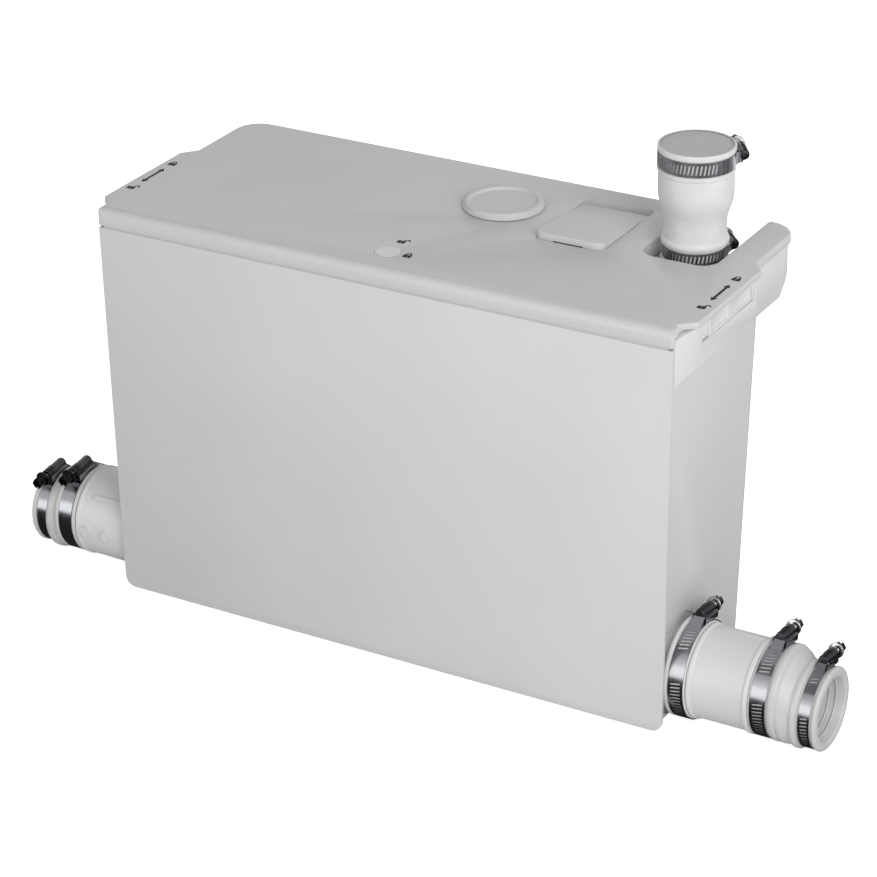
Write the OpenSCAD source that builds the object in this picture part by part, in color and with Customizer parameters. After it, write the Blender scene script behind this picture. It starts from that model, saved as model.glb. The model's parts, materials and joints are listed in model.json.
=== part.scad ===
// Sewage lifting unit: tank with screwed-down pump, snap-on front cover, latched lid,
// two low side inlets, a discharge riser in a rear alcove and worm-drive hose clamps.
// X runs along the front, Y to the back, Z up. The origin is on the floor under the tank.

/* [Front cover] */
// Width of the front cover along its top edge
cover_w = 500; // [480:1:520]
// How much narrower the cover is on each side at its bottom edge
cover_draft = 3.6; // [0:0.2:6]
// Thickness of the front cover
cover_t = 3; // [2:0.5:5]
// Radius of the cover's bottom corners
cover_r = 9; // [4:0.5:20]
// Height of the cover's bottom edge above the floor
cover_lift = 2; // [1:0.5:6]
// Radius of the snap pegs behind the cover
peg_r = 3; // [2:0.5:5]

/* [Tank] */
// Outside width of the tank at its rim
tank_w = 480; // [470:1:484]
// Outside depth of the tank at its rim
tank_d = 178; // [160:1:190]
// How much narrower the tank is on each side at the floor
tank_draft_x = 3; // [0:0.5:6]
// How much the back wall leans in at the floor
tank_draft_y = 20; // [5:1:30]
// Radius of the tank's upright corners
tank_r = 14; // [8:1:24]
// Wall thickness of the tank
tank_wall = 4; // [3:0.5:5]
// Height of the rim's top face
rim_z = 321.5; // [310:0.5:330]
// Height of the rim band
rim_h = 19.5; // [16:0.5:26]
// How far the latch rails stand out past the tank on each side
rail_out = 18; // [16:0.5:20]
// How far the rim stands out past the tank on each side behind the rails
rim_out = 9; // [6:0.5:12]
// Height of the flare that blends the rails into the side walls
flare_h = 22; // [10:0.5:30]
// How far the rim overhangs the tank at the back
rim_back = 36; // [20:1:40]

/* [Lid] */
// Depth of the lid from front to back
lid_d = 221; // [210:1:230]
// Width of the lid behind its tabs
lid_w = 501; // [490:1:510]
// How far the lid's tabs stand out on each side
tab_out = 9.5; // [6:0.5:12]
// Height of the lid from its lip to its top
lid_h = 14; // [12:0.5:18]
// Gap between the rim and the lid's lip
lid_gap = 2; // [1:0.5:3]
// Radius of the lid's rounded front edge
lid_nose = 7; // [3:0.5:9]
// Radius of the lid's other top edges
lid_fillet = 2.5; // [1:0.5:3]
// Thickness of the lid's tabs over the latch rails
tab_t = 4.8; // [3.5:0.1:6]
// Radius of the lid's front corners behind its front lip
lid_rf = 12; // [9:0.5:14]
// Radius of the lid's back corners
lid_rr = 22; // [14:1:30]
// Thickness of the lid's skin
lid_wall = 3; // [2:0.5:4]
// Width of the seal under the lid
seal_w = 3; // [2:0.5:3.5]

/* [Latches] */
// Length of each latch slider
latch_l = 86; // [60:1:90]
// Travel of each latch slider
latch_travel = 10; // [6:1:12]
// Height of the step between the rim's top and the seam round the lid's back
seam_up = 8; // [3:0.1:9]
// Depth of the finger pads in a latch slider
pad_depth = 1.2; // [0.8:0.1:3]

/* [Riser alcove] */
// Middle of the riser along the front
riser_x = 194.6; // [185:0.5:200]
// Middle of the riser from the lid's middle line to the back
riser_y = 41; // [36:0.5:46]
// Width of the alcove
alcove_w = 62; // [60:1:68]
// Distance of the alcove's front wall from the riser's middle
alcove_front = 36; // [33:0.5:40]
// Radius of the alcove's front corners
alcove_r = 14; // [6:1:20]
// Height of the alcove's floor
alcove_z = 236; // [220:1:250]

/* [Riser sleeve] */
// Height of the riser sleeve's closed top
sleeve_top = 419; // [405:1:425]
// Outside radius of the sleeve's rim
sleeve_r = 29.8; // [27:0.2:32]
// Outside radius of the sleeve's neck
sleeve_neck_r = 23.8; // [23.6:0.1:25]
// Outside radius of the discharge spigot that the sleeve grips
spigot_r = 20; // [18:0.5:20.5]
// Bore radius of the discharge path
discharge_bore = 16; // [12:0.5:17]

/* [Side connectors] */
// Height of the connectors' axis
port_z = 39.8; // [39.6:0.2:50]
// Distance of the connectors' axis behind the front cover's face
port_in = 43.5; // [43:0.5:46]
// Outside radius of the left stub
stub_r = 37.2; // [35:0.2:38]
// Outside radius of the right pipe
pipe_r = 36.4; // [35:0.2:37]
// Radius of the spigots inside the rubber sleeves
grip_r = 30; // [28:0.5:30.5]
// Bore radius of the connectors
port_bore = 27; // [20:0.5:27.5]
// Radius of the drain pipe that each reducer takes
drain_r = 25; // [20:0.5:26]
// Length of the left stub outside the tank's rim width
left_l = 60; // [40:1:80]
// Length of the right pipe between its two flanges
right_l = 43; // [30:1:60]
// How far the right reducer's small end sits below its large end
reducer_drop = 5.2; // [3:0.1:6]
// How far the left reducer's small end sits below its large end
left_drop = 4.4; // [3:0.1:6]

/* [Hose clamps] */
// Width of a wide clamp band
band_w = 12.5; // [10:0.5:14]
// Width of a narrow clamp band
band_n = 9; // [7:0.5:10]
// Thickness of a clamp band
band_t = 0.9; // [0.6:0.1:1.5]
// Length of the worm housing
worm_l = 18; // [14:1:24]
// Radius of the worm screw
worm_r = 3.3; // [2.5:0.1:4]
// Width across the flats of the screw heads
head_af = 8; // [7:0.5:9]
// Number of slots in a band below the worm housing
slot_n = 8; // [4:1:12]
// Spacing of the slots along a band
slot_pitch = 3.1; // [2.6:0.1:3.6]

/* [Lid fittings] */
// Place of the inspection cap
cap_x = 30; // [10:1:40]
cap_y = 40.5; // [20:0.5:60]
// Radius of the inspection cap
cap_r = 32; // [28:0.5:36]
// Height of the cap above the lid
cap_h = 5.5; // [4:0.5:8]
// Radius of the cap's opening in the lid
cap_hole = 26; // [20:0.5:27]
// Left edge of the flap's recess
flap_x = 80; // [74:1:84]
// Front edge of the flap's recess
flap_y = -5.2; // [-12:0.1:-4]
// Width of the service flap
flap_w = 58; // [50:0.5:60]
// Length of the service flap
flap_l = 82; // [70:1:84]
// Thickness of the service flap
flap_t = 6; // [5.5:0.5:6.5]
// How far the flap's front edge stands above the lid
flap_up = 5.5; // [4:0.5:6]
// Slope of the closed flap in degrees
flap_tilt = 4.9; // [3:0.1:6]
// Place of the quarter-turn lock
lock_x = -4; // [-20:1:20]
lock_y = -79.5; // [-85:0.5:-70]
// Radius of the quarter-turn lock
lock_r = 10; // [8:0.5:12]

/* [Pump] */
// Place of the pump
pump_x = -70; // [-90:1:-50]
pump_y = -22; // [-26:1:-18]
// Radius of the motor housing
motor_r = 50; // [46:1:54]
// Top of the motor housing
motor_top = 216; // [200:1:222]
// Radius of the volute
volute_r = 60; // [58:1:62]
// Radius of the pump shaft
shaft_r = 6; // [5:0.5:8]
// Number of impeller vanes
vanes = 5; // [3:1:7]

/* [Inside] */
// Height of the service deck
deck_z = 236; // [230:1:246]
// Radius of the level tube
level_r = 14; // [10:0.5:18]
// Outside radius of the rear inlet spigot
rear_r = 55; // [50:0.5:60]
// Height of the rear inlet's axis
rear_z = 180; // [170:1:190]

/* [Hidden] */
$fn = 64;
eps = 0.01;
// Clearance between a rubber part and the spigot it slides off
slip = 0.1;
// Clearance between pieces that move past each other
gap = 0.4;
// Clearance of a pin in its bore
pin_fit = 0.05;

y_face = -110;
y_tank = y_face + cover_t + gap;
y_wall = y_tank + tank_d;
lid_y0 = y_face - 0.5;
lid_y1 = lid_y0 + lid_d;
lid_z = rim_z + lid_gap;
lid_top = lid_z + lid_h;
// Underside of the lid's tabs
tab_z = lid_top - tab_t;
rim_y1 = y_wall + rim_back;
rail_x = tank_w / 2 + rail_out;
rim_x = tank_w / 2 + rim_out;
tab_x = lid_w / 2 + tab_out;
// Ends of the wide part of the lid and of the rails
tab_y0 = lid_y0 + 24;
tab_y1 = tab_y0 + 106;
port_y = y_face + port_in;
// Right end of the service deck, beside the alcove
deck_x1 = riser_x - alcove_w / 2 - tank_wall - 1;

function arc(cx, cy, r, a0, a1, n = 7) =
    [for (i = [0:n]) let (a = a0 + (a1 - a0) * i / n) [cx + r * cos(a), cy + r * sin(a)]];
function flip(p) = [for (i = [len(p) - 1:-1:0]) [-p[i][0], p[i][1]]];
function both(p) = concat(p, flip(p));
// Right half of a plan outline: front corner, slanted step out, rail, step in, back corner
function plan_half(xf, xw, xn, yf, y0, y1, yb, r) = concat(
    [[xf, yf], [xw, y0], [xw, y1], [xn, y1 + 13]],
    arc(xn - r, yb - r, r, 0, 90));
function rect_pts(x, y0, y1, r) = concat(
    arc(x - r, y0 + r, r, -90, 0), arc(x - r, y1 - r, r, 0, 90),
    arc(r - x, y1 - r, r, 90, 180), arc(r - x, y0 + r, r, 180, 270));
// Plan of the alcove, open to the back, grown by g
function alcove_pts(g) = let (
    x0 = riser_x - alcove_w / 2 - g, x1 = riser_x + alcove_w / 2 + g,
    y0 = riser_y - alcove_front - g, r = alcove_r + g) concat(
    arc(x0 + r, y0 + r, r, 180, 270), arc(x1 - r, y0 + r, r, 270, 360),
    [[x1, lid_y1 + 20], [x0, lid_y1 + 20]]);
// Distance of the seal's path from the alcove
land = lid_wall + 1 + seal_w / 2;
// Closed path of the seal, moved outward by e
function seal_pts(e) = let (
    x = tank_w / 2 + 1, f = y_tank + tank_wall / 2, b = rim_y1 - 9,
    c = riser_x - alcove_w / 2 - land, n = riser_y - alcove_front - land, k = 5.1 + 0.586 * e) [
    [-x - e, f - e], [x + e, f - e], [x + e, n + e], [c + e, n + e], [c + e, b + e],
    [-x - e + k, b + e], [-x - e, b + e - k]];

// Disc with a rounded top edge, for the corners of a soft moulding
module puck(r, h, f) {
    rotate_extrude($fn = 32)
        polygon(concat([[0, 0], [r, 0]], arc(r - f, h - f, f, 0, 90, 4), [[0, h]]));
}
// Body of revolution along +X from points of length and radius
module turned_x(p) {
    rotate([0, 90, 0]) rotate_extrude() polygon([for (q = p) [q[1], q[0]]]);
}
module drafted(xt, xb, y0, yt, yb, z0, z1, r) {
    hull() {
        translate([0, 0, z0]) linear_extrude(eps) polygon(rect_pts(xb, y0, yb, r));
        translate([0, 0, z1 - eps]) linear_extrude(eps) polygon(rect_pts(xt, y0, yt, r));
    }
}

// Tank

module tank_shell() {
    z1 = rim_z - 2;
    drafted(tank_w / 2, tank_w / 2 - tank_draft_x, y_tank, y_wall, y_wall - tank_draft_y,
        0, z1, tank_r);
    // Rim and rails, flared out from the side walls and the back wall
    intersection() {
        translate([0, 0, rim_z - 50]) linear_extrude(50) rim_plan();
        rotate([90, 0, 0]) translate([0, 0, -300]) linear_extrude(600)
            polygon(both([[tank_w / 2 - 0.4, rim_z - rim_h - flare_h],
                [rail_x, rim_z - rim_h - 2], [rail_x, rim_z + 1]]));
        rotate([90, 0, 90]) translate([0, 0, -300]) linear_extrude(600)
            polygon([[y_tank - 1, rim_z - 50], [wall_y(rim_z - rim_h - flare_h) - 0.4,
                rim_z - rim_h - flare_h], [y_wall + 9, rim_z - 30], [rim_y1 + 1, rim_z - 2],
                [rim_y1 + 1, rim_z + 1], [y_tank - 1, rim_z + 1]]);
    }
    // Rails beside the lid's skirt, cut down towards their front ends
    intersection() {
        translate([0, 0, rim_z - 1]) linear_extrude(20) difference() {
            rim_plan();
            square([lid_w - 3, 400], center = true);
        }
        rotate([90, 0, 90]) translate([0, 0, -300]) linear_extrude(600)
            polygon([[y_tank - 1, rim_z - 2], [y_tank - 1, tab_z - 4.4], [tab_y0, tab_z - gap],
                [tab_y1 + 7.4, tab_z - gap], [tab_y1 + 12.2, rim_z + seam_up],
                [tab_y1 + 12.2, rim_z - 2]]);
    }
    // Raised edge of the rim under the lid's skirt, at the sides and the back
    intersection() {
        translate([0, 0, rim_z - 1]) linear_extrude(1 + seam_up) difference() {
            rim_plan();
            polygon(both(rect_half(rim_x - 3, rim_y1 - 3, lid_rr - 5)));
        }
        translate([-300, tab_y1 + 14, 0]) cube([600, 200, 400]);
    }
}
module rim_plan() {
    polygon(both(plan_half(lid_w / 2 - 0.2, rail_x, rim_x, y_tank, tab_y0 + 1, tab_y1 - 1,
        rim_y1, lid_rr - 2)));
}
function rect_half(x, yb, r) = concat([[x, -200]], arc(x - r, yb - r, r, 0, 90));
module tank_cavity() {
    w = tank_wall;
    difference() {
        drafted(tank_w / 2 - w, tank_w / 2 - tank_draft_x - w, y_tank + w, y_wall - w,
            y_wall - tank_draft_y - w, w, rim_z + 1, tank_r - w);
        translate([0, 0, alcove_z - w]) linear_extrude(rim_z) polygon(alcove_pts(w));
        translate([riser_x + alcove_w / 2 - 1, riser_y - alcove_front - w, alcove_z - w])
            cube([60, 120, rim_z]);
        // Wider land for the seal round the alcove
        translate([0, 0, rim_z - 8]) linear_extrude(20) polygon(alcove_pts(land + seal_w));
    }
}
// Pockets in the overhanging back rim, open to the inside, with a rib between each pair
module rim_pockets() {
    n = 8;
    x0 = -rim_x + 8;
    x1 = riser_x - alcove_w / 2 - tank_wall;
    pitch = (x1 - x0) / n;
    for (i = [0:n - 1])
        translate([x0 + i * pitch, 0, 0]) rotate([90, 0, 90]) linear_extrude(pitch - 2.5)
            polygon([[y_wall - 9, rim_z - 4], [rim_y1 - 8.5, rim_z - 4],
                [y_wall + 3.5, rim_z - 30], [y_wall - 5.5, rim_z - 37], [y_wall - 9, rim_z - 37]]);
}
// T-shaped groove that carries the foot of a latch slider
module latch_groove() {
    y0 = latch_y0();
    translate([latch_x() - 0.4, y0 - latch_travel - gap, latch_z0() - gap])
        cube([rail_x - latch_x() - 1.1, latch_l + latch_travel + 2 * gap, 60]);
    translate([latch_x() - 0.4, y0 - 2, latch_z0() - gap]) cube([40, latch_l + 2 + gap, 60]);
    translate([latch_x() + 1.6, y0 - latch_travel - gap, latch_z0() - 6])
        cube([3.2 + gap, latch_l + latch_travel + 2 * gap, 8]);
    translate([latch_x() - 0.9, y0 - latch_travel - gap, latch_z0() - 10])
        cube([6.6 + gap, latch_l + latch_travel + 2 * gap, 4.6]);
    // Room for the wedge ribs
    for (d = [14, latch_l - 22])
        translate([latch_x() - 2, y0 + d - latch_travel - gap, latch_z0() + 8 - gap])
            cube([3, 8 + latch_travel + 2 * gap, 40]);
}
function latch_x() = tank_w / 2 + 10;
function latch_y0() = tab_y0 + 11.5;
function latch_z0() = rim_z - 4.5;
function latch_h() = tab_z - gap - latch_z0();
peg_at = [for (x = [-0.42, 0.42], z = [0.2, 0.8]) [x * cover_w, z * rim_z]];

module tank() {
    color("gainsboro") difference() {
        union() {
            difference() {
                tank_shell();
                tank_cavity();
            }
            for (p = peg_at) translate([p[0], y_tank + 1, p[1]])
                rotate([-90, 0, 0]) cylinder(r = peg_r + 3, h = 10);
            // Pillars that carry the service deck
            for (x = [tank_draft_x + 14 - tank_w / 2, deck_x1 - 8],
                y = [y_tank + 12, y_wall - tank_draft_y - 14])
                translate([x, y, 1]) cylinder(r = 7, h = deck_z - 1);
            // Spigot for the right collar
            translate([tank_w / 2 - 8, port_y, port_z]) rotate([0, 90, 0])
                cylinder(r = grip_r, h = 20);
        }
        translate([0, 0, alcove_z]) linear_extrude(rim_z) polygon(alcove_pts(0));
        translate([riser_x, riser_y, alcove_z - 10]) cylinder(r = discharge_bore, h = 20);
        for (p = peg_at) translate([p[0], y_tank - 1, p[1]])
            rotate([-90, 0, 0]) cylinder(r = peg_r + gap, h = 9);
        translate([tank_w / 2 - 12, port_y, port_z]) rotate([0, 90, 0])
            cylinder(r = port_bore, h = 40);
        // Round recess in the right wall behind the collar
        translate([tank_w / 2 - 4.6, port_y, port_z]) rotate([0, 90, 0]) difference() {
            cylinder(r = 40.6, h = 12);
            translate([0, 0, -1]) cylinder(r = grip_r, h = 14);
        }
        translate([-tank_w / 2 - 12, port_y, port_z]) rotate([0, 90, 0])
            cylinder(r = port_bore, h = 30);
        translate([gland_x, y_wall - 30, gland_z]) rotate([-90, 0, 0])
            cylinder(r = 8, h = 40);
        rim_pockets();
        latch_groove();
        mirror([1, 0, 0]) latch_groove();
    }
}

// Back wall's place at a height, and its lean
function wall_y(z) = y_wall - tank_draft_y * (1 - z / (rim_z - 2));
gland_x = -200;
gland_z = 261;
rear_x = -70;

module rear_inlet() {
    y0 = wall_y(rear_z - rear_r);
    y1 = wall_y(rear_z + rear_r) + 36;
    color("gainsboro") difference() {
        translate([rear_x, y0 - 2, rear_z]) rotate([-90, 0, 0]) {
            cylinder(r = rear_r, h = y1 - y0 + 2);
            cylinder(r = rear_r + 5, h = y1 - y0 - 31);
        }
        translate([rear_x, y0 - 10, rear_z]) rotate([-90, 0, 0])
            cylinder(r = rear_r - tank_wall, h = y1 - y0 + 6);
        drafted(tank_w / 2, tank_w / 2 - tank_draft_x, y_tank, y_wall,
            y_wall - tank_draft_y, 0, rim_z - 2, tank_r);
    }
}

// Front cover

module front_cover() {
    zt = rim_z - 0.3;
    xb = cover_w / 2 - cover_draft;
    color("lightgray") {
        translate([0, y_face + cover_t, 0]) rotate([90, 0, 0]) linear_extrude(cover_t)
            polygon(both(concat(
                arc(xb - cover_r, cover_lift + cover_r, cover_r, -90, 0),
                [[cover_w / 2, zt]])));
        for (p = peg_at) translate([p[0], y_face + cover_t - 0.5, p[1]])
            rotate([-90, 0, 0]) cylinder(r = peg_r, h = 7);
    }
}

// Lid

module lid_body() {
    xr = lid_w / 2 - lid_rr;
    f = lid_fillet;
    difference() {
        intersection() {
            union() {
                // Front lip
                hull() for (s = [-1, 1], y = [lid_y0 + 2.6, lid_y0 + 9])
                    translate([s * (lid_w / 2 - 2.6), y, 0]) puck(2.6, lid_h, f);
                hull() for (s = [-1, 1]) {
                    translate([s * (lid_w / 2 - lid_rf), lid_y0 + 6 + lid_rf, 0])
                        puck(lid_rf, lid_h, f);
                    translate([s * xr, lid_y1 - lid_rr, 0]) puck(lid_rr, lid_h, f);
                }
                // Tabs over the latch rails
                translate([0, 0, lid_h - tab_t]) hull() for (s = [-1, 1]) {
                    translate([s * (lid_w / 2 - 5), lid_y0 + 14, 0]) puck(3, tab_t, 1.5);
                    translate([s * (tab_x - 3), tab_y0 + 1, 0]) puck(3, tab_t, 1.5);
                    translate([s * (tab_x - 3), tab_y1 - 1, 0]) puck(3, tab_t, 1.5);
                    translate([s * (lid_w / 2 - 3), tab_y1 + 10, 0]) puck(3, tab_t, 1.5);
                }
            }
            rotate([90, 0, 90]) translate([0, 0, -300]) linear_extrude(600)
                polygon(concat([[lid_y0, -1]],
                    arc(lid_y0 + lid_nose, lid_h - lid_nose, lid_nose, 180, 90),
                    [[lid_y1 + 1, lid_h], [lid_y1 + 1, -1]]));
        }
        // The skirt ends higher at the sides and the back than at the front lip
        translate([-300, lid_y0 + 13.5, -1]) difference() {
            cube([600, 300, 1 + seam_up - lid_gap + 0.5]);
            translate([300, -lid_y0 - 13.5, -1]) linear_extrude(20)
                polygon(both(rect_half(tank_w / 2 + 3, lid_y0 + lid_d - 8, 15)));
        }
        // Room for the rails, whose tops rise from the front lip to the tabs
        for (s = [0, 1]) mirror([s, 0, 0]) rotate([90, 0, 90])
            translate([0, 0, lid_w / 2 - 1.9]) linear_extrude(40)
                polygon([[lid_y0 + 3.6, -1], [lid_y0 + 3.6, lid_h - tab_t - 3.6],
                    [tab_y0, lid_h - tab_t], [tab_y1 + 8, lid_h - tab_t],
                    [tab_y1 + 13, seam_up - lid_gap + 0.5], [tab_y1 + 13, -1]]);
    }
}
module lid_hollow() {
    w = lid_wall;
    difference() {
        translate([0, 0, -1]) linear_extrude(lid_h - w + 1)
            polygon(both(plan_half(lid_w / 2 - w - 3, latch_x() - w - 0.6, lid_w / 2 - w,
                lid_y0 + w, tab_y0, tab_y1 - 4, lid_y1 - w, lid_rr - w)));
        // Skirt round the alcove
        translate([0, 0, -2]) linear_extrude(lid_h + 4) polygon(alcove_pts(w));
        // Rib that presses on the seal
        translate([0, 0, seal_h() - lid_gap]) linear_extrude(lid_h) difference() {
            polygon(seal_pts(seal_w / 2));
            polygon(seal_pts(-seal_w / 2));
        }
        // Tray of the service flap, ring of the cap's opening and boss of the lock
        translate([flap_x - 4, flap_y - 4, lid_h - 16])
            cube([flap_w + 9, flap_l + 20, 30]);
        translate([cap_x, cap_y, lid_h - 8]) cylinder(r = cap_hole + 3, h = 20);
        translate([lock_x, lock_y, lid_h - 9]) cylinder(r = lock_r + 4, h = 20);
    }
}
function seal_h() = lid_gap + 1.8;
// Room for a latch slider in the lid's tab
module latch_room() {
    y0 = latch_y0() - latch_travel - gap;
    translate([latch_x() - 0.5, y0, -1])
        cube([40, latch_l + latch_travel + 2 * gap, tab_z - lid_z + 1]);
    for (d = [14, latch_l - 22])
        translate([latch_x() - 10, y0 + d, -1]) cube([20, 8 + latch_travel + 2 * gap, 8.2]);
}
flap_z = lid_top + flap_up;
flap_x0 = flap_x + 0.7;
flap_y0 = flap_y + 1.2;
pin_y = flap_y0 + flap_l * cos(flap_tilt) - 5;
pin_z = flap_z - flap_l * sin(flap_tilt) + 5 * tan(flap_tilt) - flap_t / 2;
// Plan of the flap's recess
module flap_plan() {
    x1 = flap_x + flap_w + 1.4;
    y1 = pin_y + 16;
    polygon(concat(
        arc(flap_x + 8, flap_y + 8, 8, 180, 270), arc(x1 - 8, flap_y + 8, 8, 270, 360),
        arc(x1 - 9, y1 - 9, 9, 0, 90), arc(flap_x + 9, y1 - 9, 9, 90, 180)));
}
module flap_recess() {
    z = lid_top - 13;
    y1 = pin_y + 16;
    intersection() {
        translate([0, 0, z]) linear_extrude(30) flap_plan();
        translate([flap_x - 10, 0, 0]) rotate([90, 0, 90]) linear_extrude(flap_w + 30)
            polygon([[flap_y - 1, z], [pin_y + 7.5, z], [y1, lid_top], [y1, lid_top + 20],
                [flap_y - 1, lid_top + 20]]);
    }
    // Seat of the filter cartridge
    translate([flap_x + 9, flap_y + 11, z - 20]) cube([flap_w - 16, flap_l - 30, 30]);
}

module lid() {
    color("silver") difference() {
        translate([0, 0, lid_z]) difference() {
            lid_body();
            lid_hollow();
            latch_room();
            mirror([1, 0, 0]) latch_room();
        }
        translate([0, 0, lid_z - 5]) linear_extrude(60) polygon(alcove_pts(0));
        flap_recess();
        translate([flap_x - 2, pin_y, pin_z]) rotate([0, 90, 0])
            cylinder(r = 1.5 + pin_fit, h = flap_w + 5.4);
        translate([cap_x, cap_y, lid_z - 5]) cylinder(r = cap_hole, h = 60);
        translate([lock_x, lock_y, lid_z - 5]) cylinder(r = 5 + gap, h = 60);
        translate([lock_x, lock_y, lid_top - 3.4]) cylinder(r = lock_r + gap, h = 20);
    }
}

module lid_seal() {
    color("dimgray") translate([0, 0, rim_z + 0.3]) linear_extrude(seal_h() - 0.3)
        difference() {
            polygon(seal_pts(seal_w / 2));
            polygon(seal_pts(-seal_w / 2));
        }
}

// Latch slider: plate with two finger pads, T-shaped foot and two wedge ribs

module latch() {
    x0 = latch_x();
    y0 = latch_y0();
    z0 = latch_z0();
    t = rail_x - x0;
    color("whitesmoke") difference() {
        union() {
            translate([x0, y0, z0]) cube([t, latch_l, latch_h()]);
            translate([x0 + 2, y0 + 1, z0 - 6]) cube([2.8, latch_l - 2, 7]);
            translate([x0 - 0.4, y0 + 1, z0 - 9.6]) cube([5.8, latch_l - 2, 3.8]);
            for (d = [18, latch_l - 18]) translate([x0 - 4.5, y0 + d - 4, z0 + 8])
                cube([5, 8, 4]);
        }
        for (d = [latch_travel + 3, latch_l / 2 + 6]) translate([x0 + t - pad_depth, y0 + d, z0 + 2.5])
            cube([10, latch_l / 2 - 15, latch_h() - 4.4]);
        translate([x0 + t - 1.9, y0 - 1, z0 - 1]) cube([10, latch_travel, latch_h() + 2]);
        translate([x0 + t - 1.5, y0 + latch_l - 5, z0 - 1]) cube([10, 1.2, latch_h() + 2]);
    }
}
module latch_right() {
    latch();
}
module latch_left() {
    mirror([1, 0, 0]) latch();
}

module quarter_turn_lock() {
    color("gray") translate([lock_x, lock_y, 0]) difference() {
        union() {
            translate([0, 0, lid_top - 3]) cylinder(r = lock_r, h = 3.3);
            translate([0, 0, lid_top - 14]) cylinder(r = 5, h = 12);
            translate([0, 0, lid_top - 13.5]) rotate([0, 0, 35])
                translate([-11, -4, 0]) cube([22, 8, 3]);
        }
        translate([0, 0, lid_top - 1]) rotate([0, 0, 35])
            translate([-7, -1.1, -1]) cube([14, 2.2, 5]);
    }
}

// Inspection cap: dished top with a rolled rim and a plug into the lid's opening

module inspection_cap() {
    r = cap_r;
    h = cap_h;
    p = cap_hole - gap;
    color("gainsboro") translate([cap_x, cap_y, lid_top]) rotate_extrude()
        polygon([[0, 0.5], [p - 4, 0.5], [p - 4, -9], [p, -9], [p, -6.4], [p - 1.6, -6.4],
            [p - 1.6, -3.6], [p, -3.6], [p, 0.3], [r - 0.4, 0.3], [r, 0.7], [r, 2.1],
            [r - 0.5, 2.6], [r - 1.4, 2.8], [r - 1.4, h - 1], [r - 1.7, h - 0.3], [r - 2.3, h],
            [r - 4.3, h], [r - 5, h - 0.4], [r - 5.6, h - 2], [r - 6, h - 2.3], [0, h - 2.3]]);
}
module cap_seal() {
    color("dimgray") translate([cap_x, cap_y, lid_top - 6.3]) difference() {
        cylinder(r = cap_hole - pin_fit, h = 2.6);
        translate([0, 0, -1]) cylinder(r = cap_hole - gap - 1.5, h = 5);
    }
}

// Service flap: tilted plate with a hinge knuckle at its back edge

module service_flap() {
    x0 = flap_x0;
    color("silver") difference() {
        union() {
            translate([x0, flap_y0, flap_z]) rotate([-flap_tilt, 0, 0])
                translate([0, 0, -flap_t]) linear_extrude(flap_t)
                    polygon(concat(
                        arc(7, 7, 7, 180, 270), arc(flap_w - 7, 7, 7, 270, 360),
                        arc(flap_w - 3, flap_l - 3, 3, 0, 90), arc(3, flap_l - 3, 3, 90, 180)));
        }
        // Grip hollow under the front edge
        translate([x0 + 16, flap_y0 - 2, flap_z - flap_t - 2]) cube([flap_w - 32, 6, 3]);
        translate([x0 - 1, pin_y, pin_z]) rotate([0, 90, 0])
            cylinder(r = 1.5 + pin_fit, h = flap_w + 2);
    }
}
module flap_pin() {
    color("silver") translate([flap_x - 1.6, pin_y, pin_z]) rotate([0, 90, 0])
        cylinder(r = 1.5, h = flap_w + 4.6);
}
module filter_cartridge() {
    z = lid_top - 13;
    color("black") translate([flap_x + 9.3, flap_y + 11.3, z - 20])
        cube([flap_w - 16.6, flap_l - 30.6, 20.5]);
    color("dimgray") translate([flap_x + 6, flap_y + 8, z])
        difference() {
            cube([flap_w - 10, flap_l - 24, 2]);
            for (i = [0:4]) translate([6, 6 + i * 10, 1]) cube([flap_w - 22, 5, 3]);
        }
}

// Riser

// Places of the sleeve's two clamps below its top
riser_top_z = sleeve_top - 10.8;
riser_low_z = sleeve_top - 84.5;
module riser_sleeve() {
    t = sleeve_top;
    n = sleeve_neck_r;
    r = sleeve_r;
    color("whitesmoke") translate([riser_x, riser_y, 0]) rotate_extrude()
        polygon(concat(
            [[spigot_r + slip, t - 97], [n + 1.4, t - 97], [n + 2.2, t - 96], [n + 2.2, t - 90.5],
                [n, t - 89.5], [n, t - 79.5], [n + 1.8, t - 78.5], [n + 2.2, t - 76],
                [n + 1.6, t - 74], [n + 0.7, t - 72.5], [n + 0.1, t - 68], [n, t - 62],
                [n + 0.3, t - 57.5], [n + 1.2, t - 53.4], [n + 2.4, t - 49.4], [n + 3.7, t - 45.4],
                [n + 4.6, t - 41.6], [n + 5.1, t - 37], [n + 5.1, t - 26], [n + 5, t - 21],
                [r - 0.2, t - 20],
                [r - 0.2, t - 18], [r - 1.1, t - 17.2], [r - 1.1, t - 4.6], [r - 0.2, t - 4.2]],
            arc(r - 1, t - 1, 1, 0, 90, 4),
            [[r - 2.4, t], [r - 3.2, t - 1], [0, t - 1.2], [0, t - 6], [r - 5, t - 6],
                [r - 5, t - 30], [spigot_r + slip, t - 50]]));
}
// Non-return valve on the alcove's floor, with the spigot that the sleeve grips
valve_r = 28;
valve_z = alcove_z + 24;
hinge_y = riser_y + 16;
hinge_z = valve_z + 3.8;
module valve_body() {
    z0 = alcove_z;
    z1 = z0 + 74;
    color("darkgray") translate([riser_x, riser_y, 0]) difference() {
        union() {
            translate([0, 0, z0]) cylinder(r = valve_r, h = z1 - z0);
            translate([0, 0, z0]) cylinder(r = valve_r + 2, h = 6);
            translate([0, 0, z1 - 8]) cylinder(r = valve_r + 1.5, h = 5);
            translate([0, 0, z1 - 1]) cylinder(r = spigot_r, h = sleeve_top - 74 - z1);
        }
        translate([0, 0, z0 - 1]) cylinder(r = discharge_bore, h = 300);
        translate([0, 0, valve_z]) cylinder(r = 25, h = z1 - 4 - valve_z);
        translate([0, hinge_y - riser_y, hinge_z]) rotate([0, 90, 0])
            cylinder(r = 1.5 + pin_fit, h = 48, center = true);
    }
}
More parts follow.
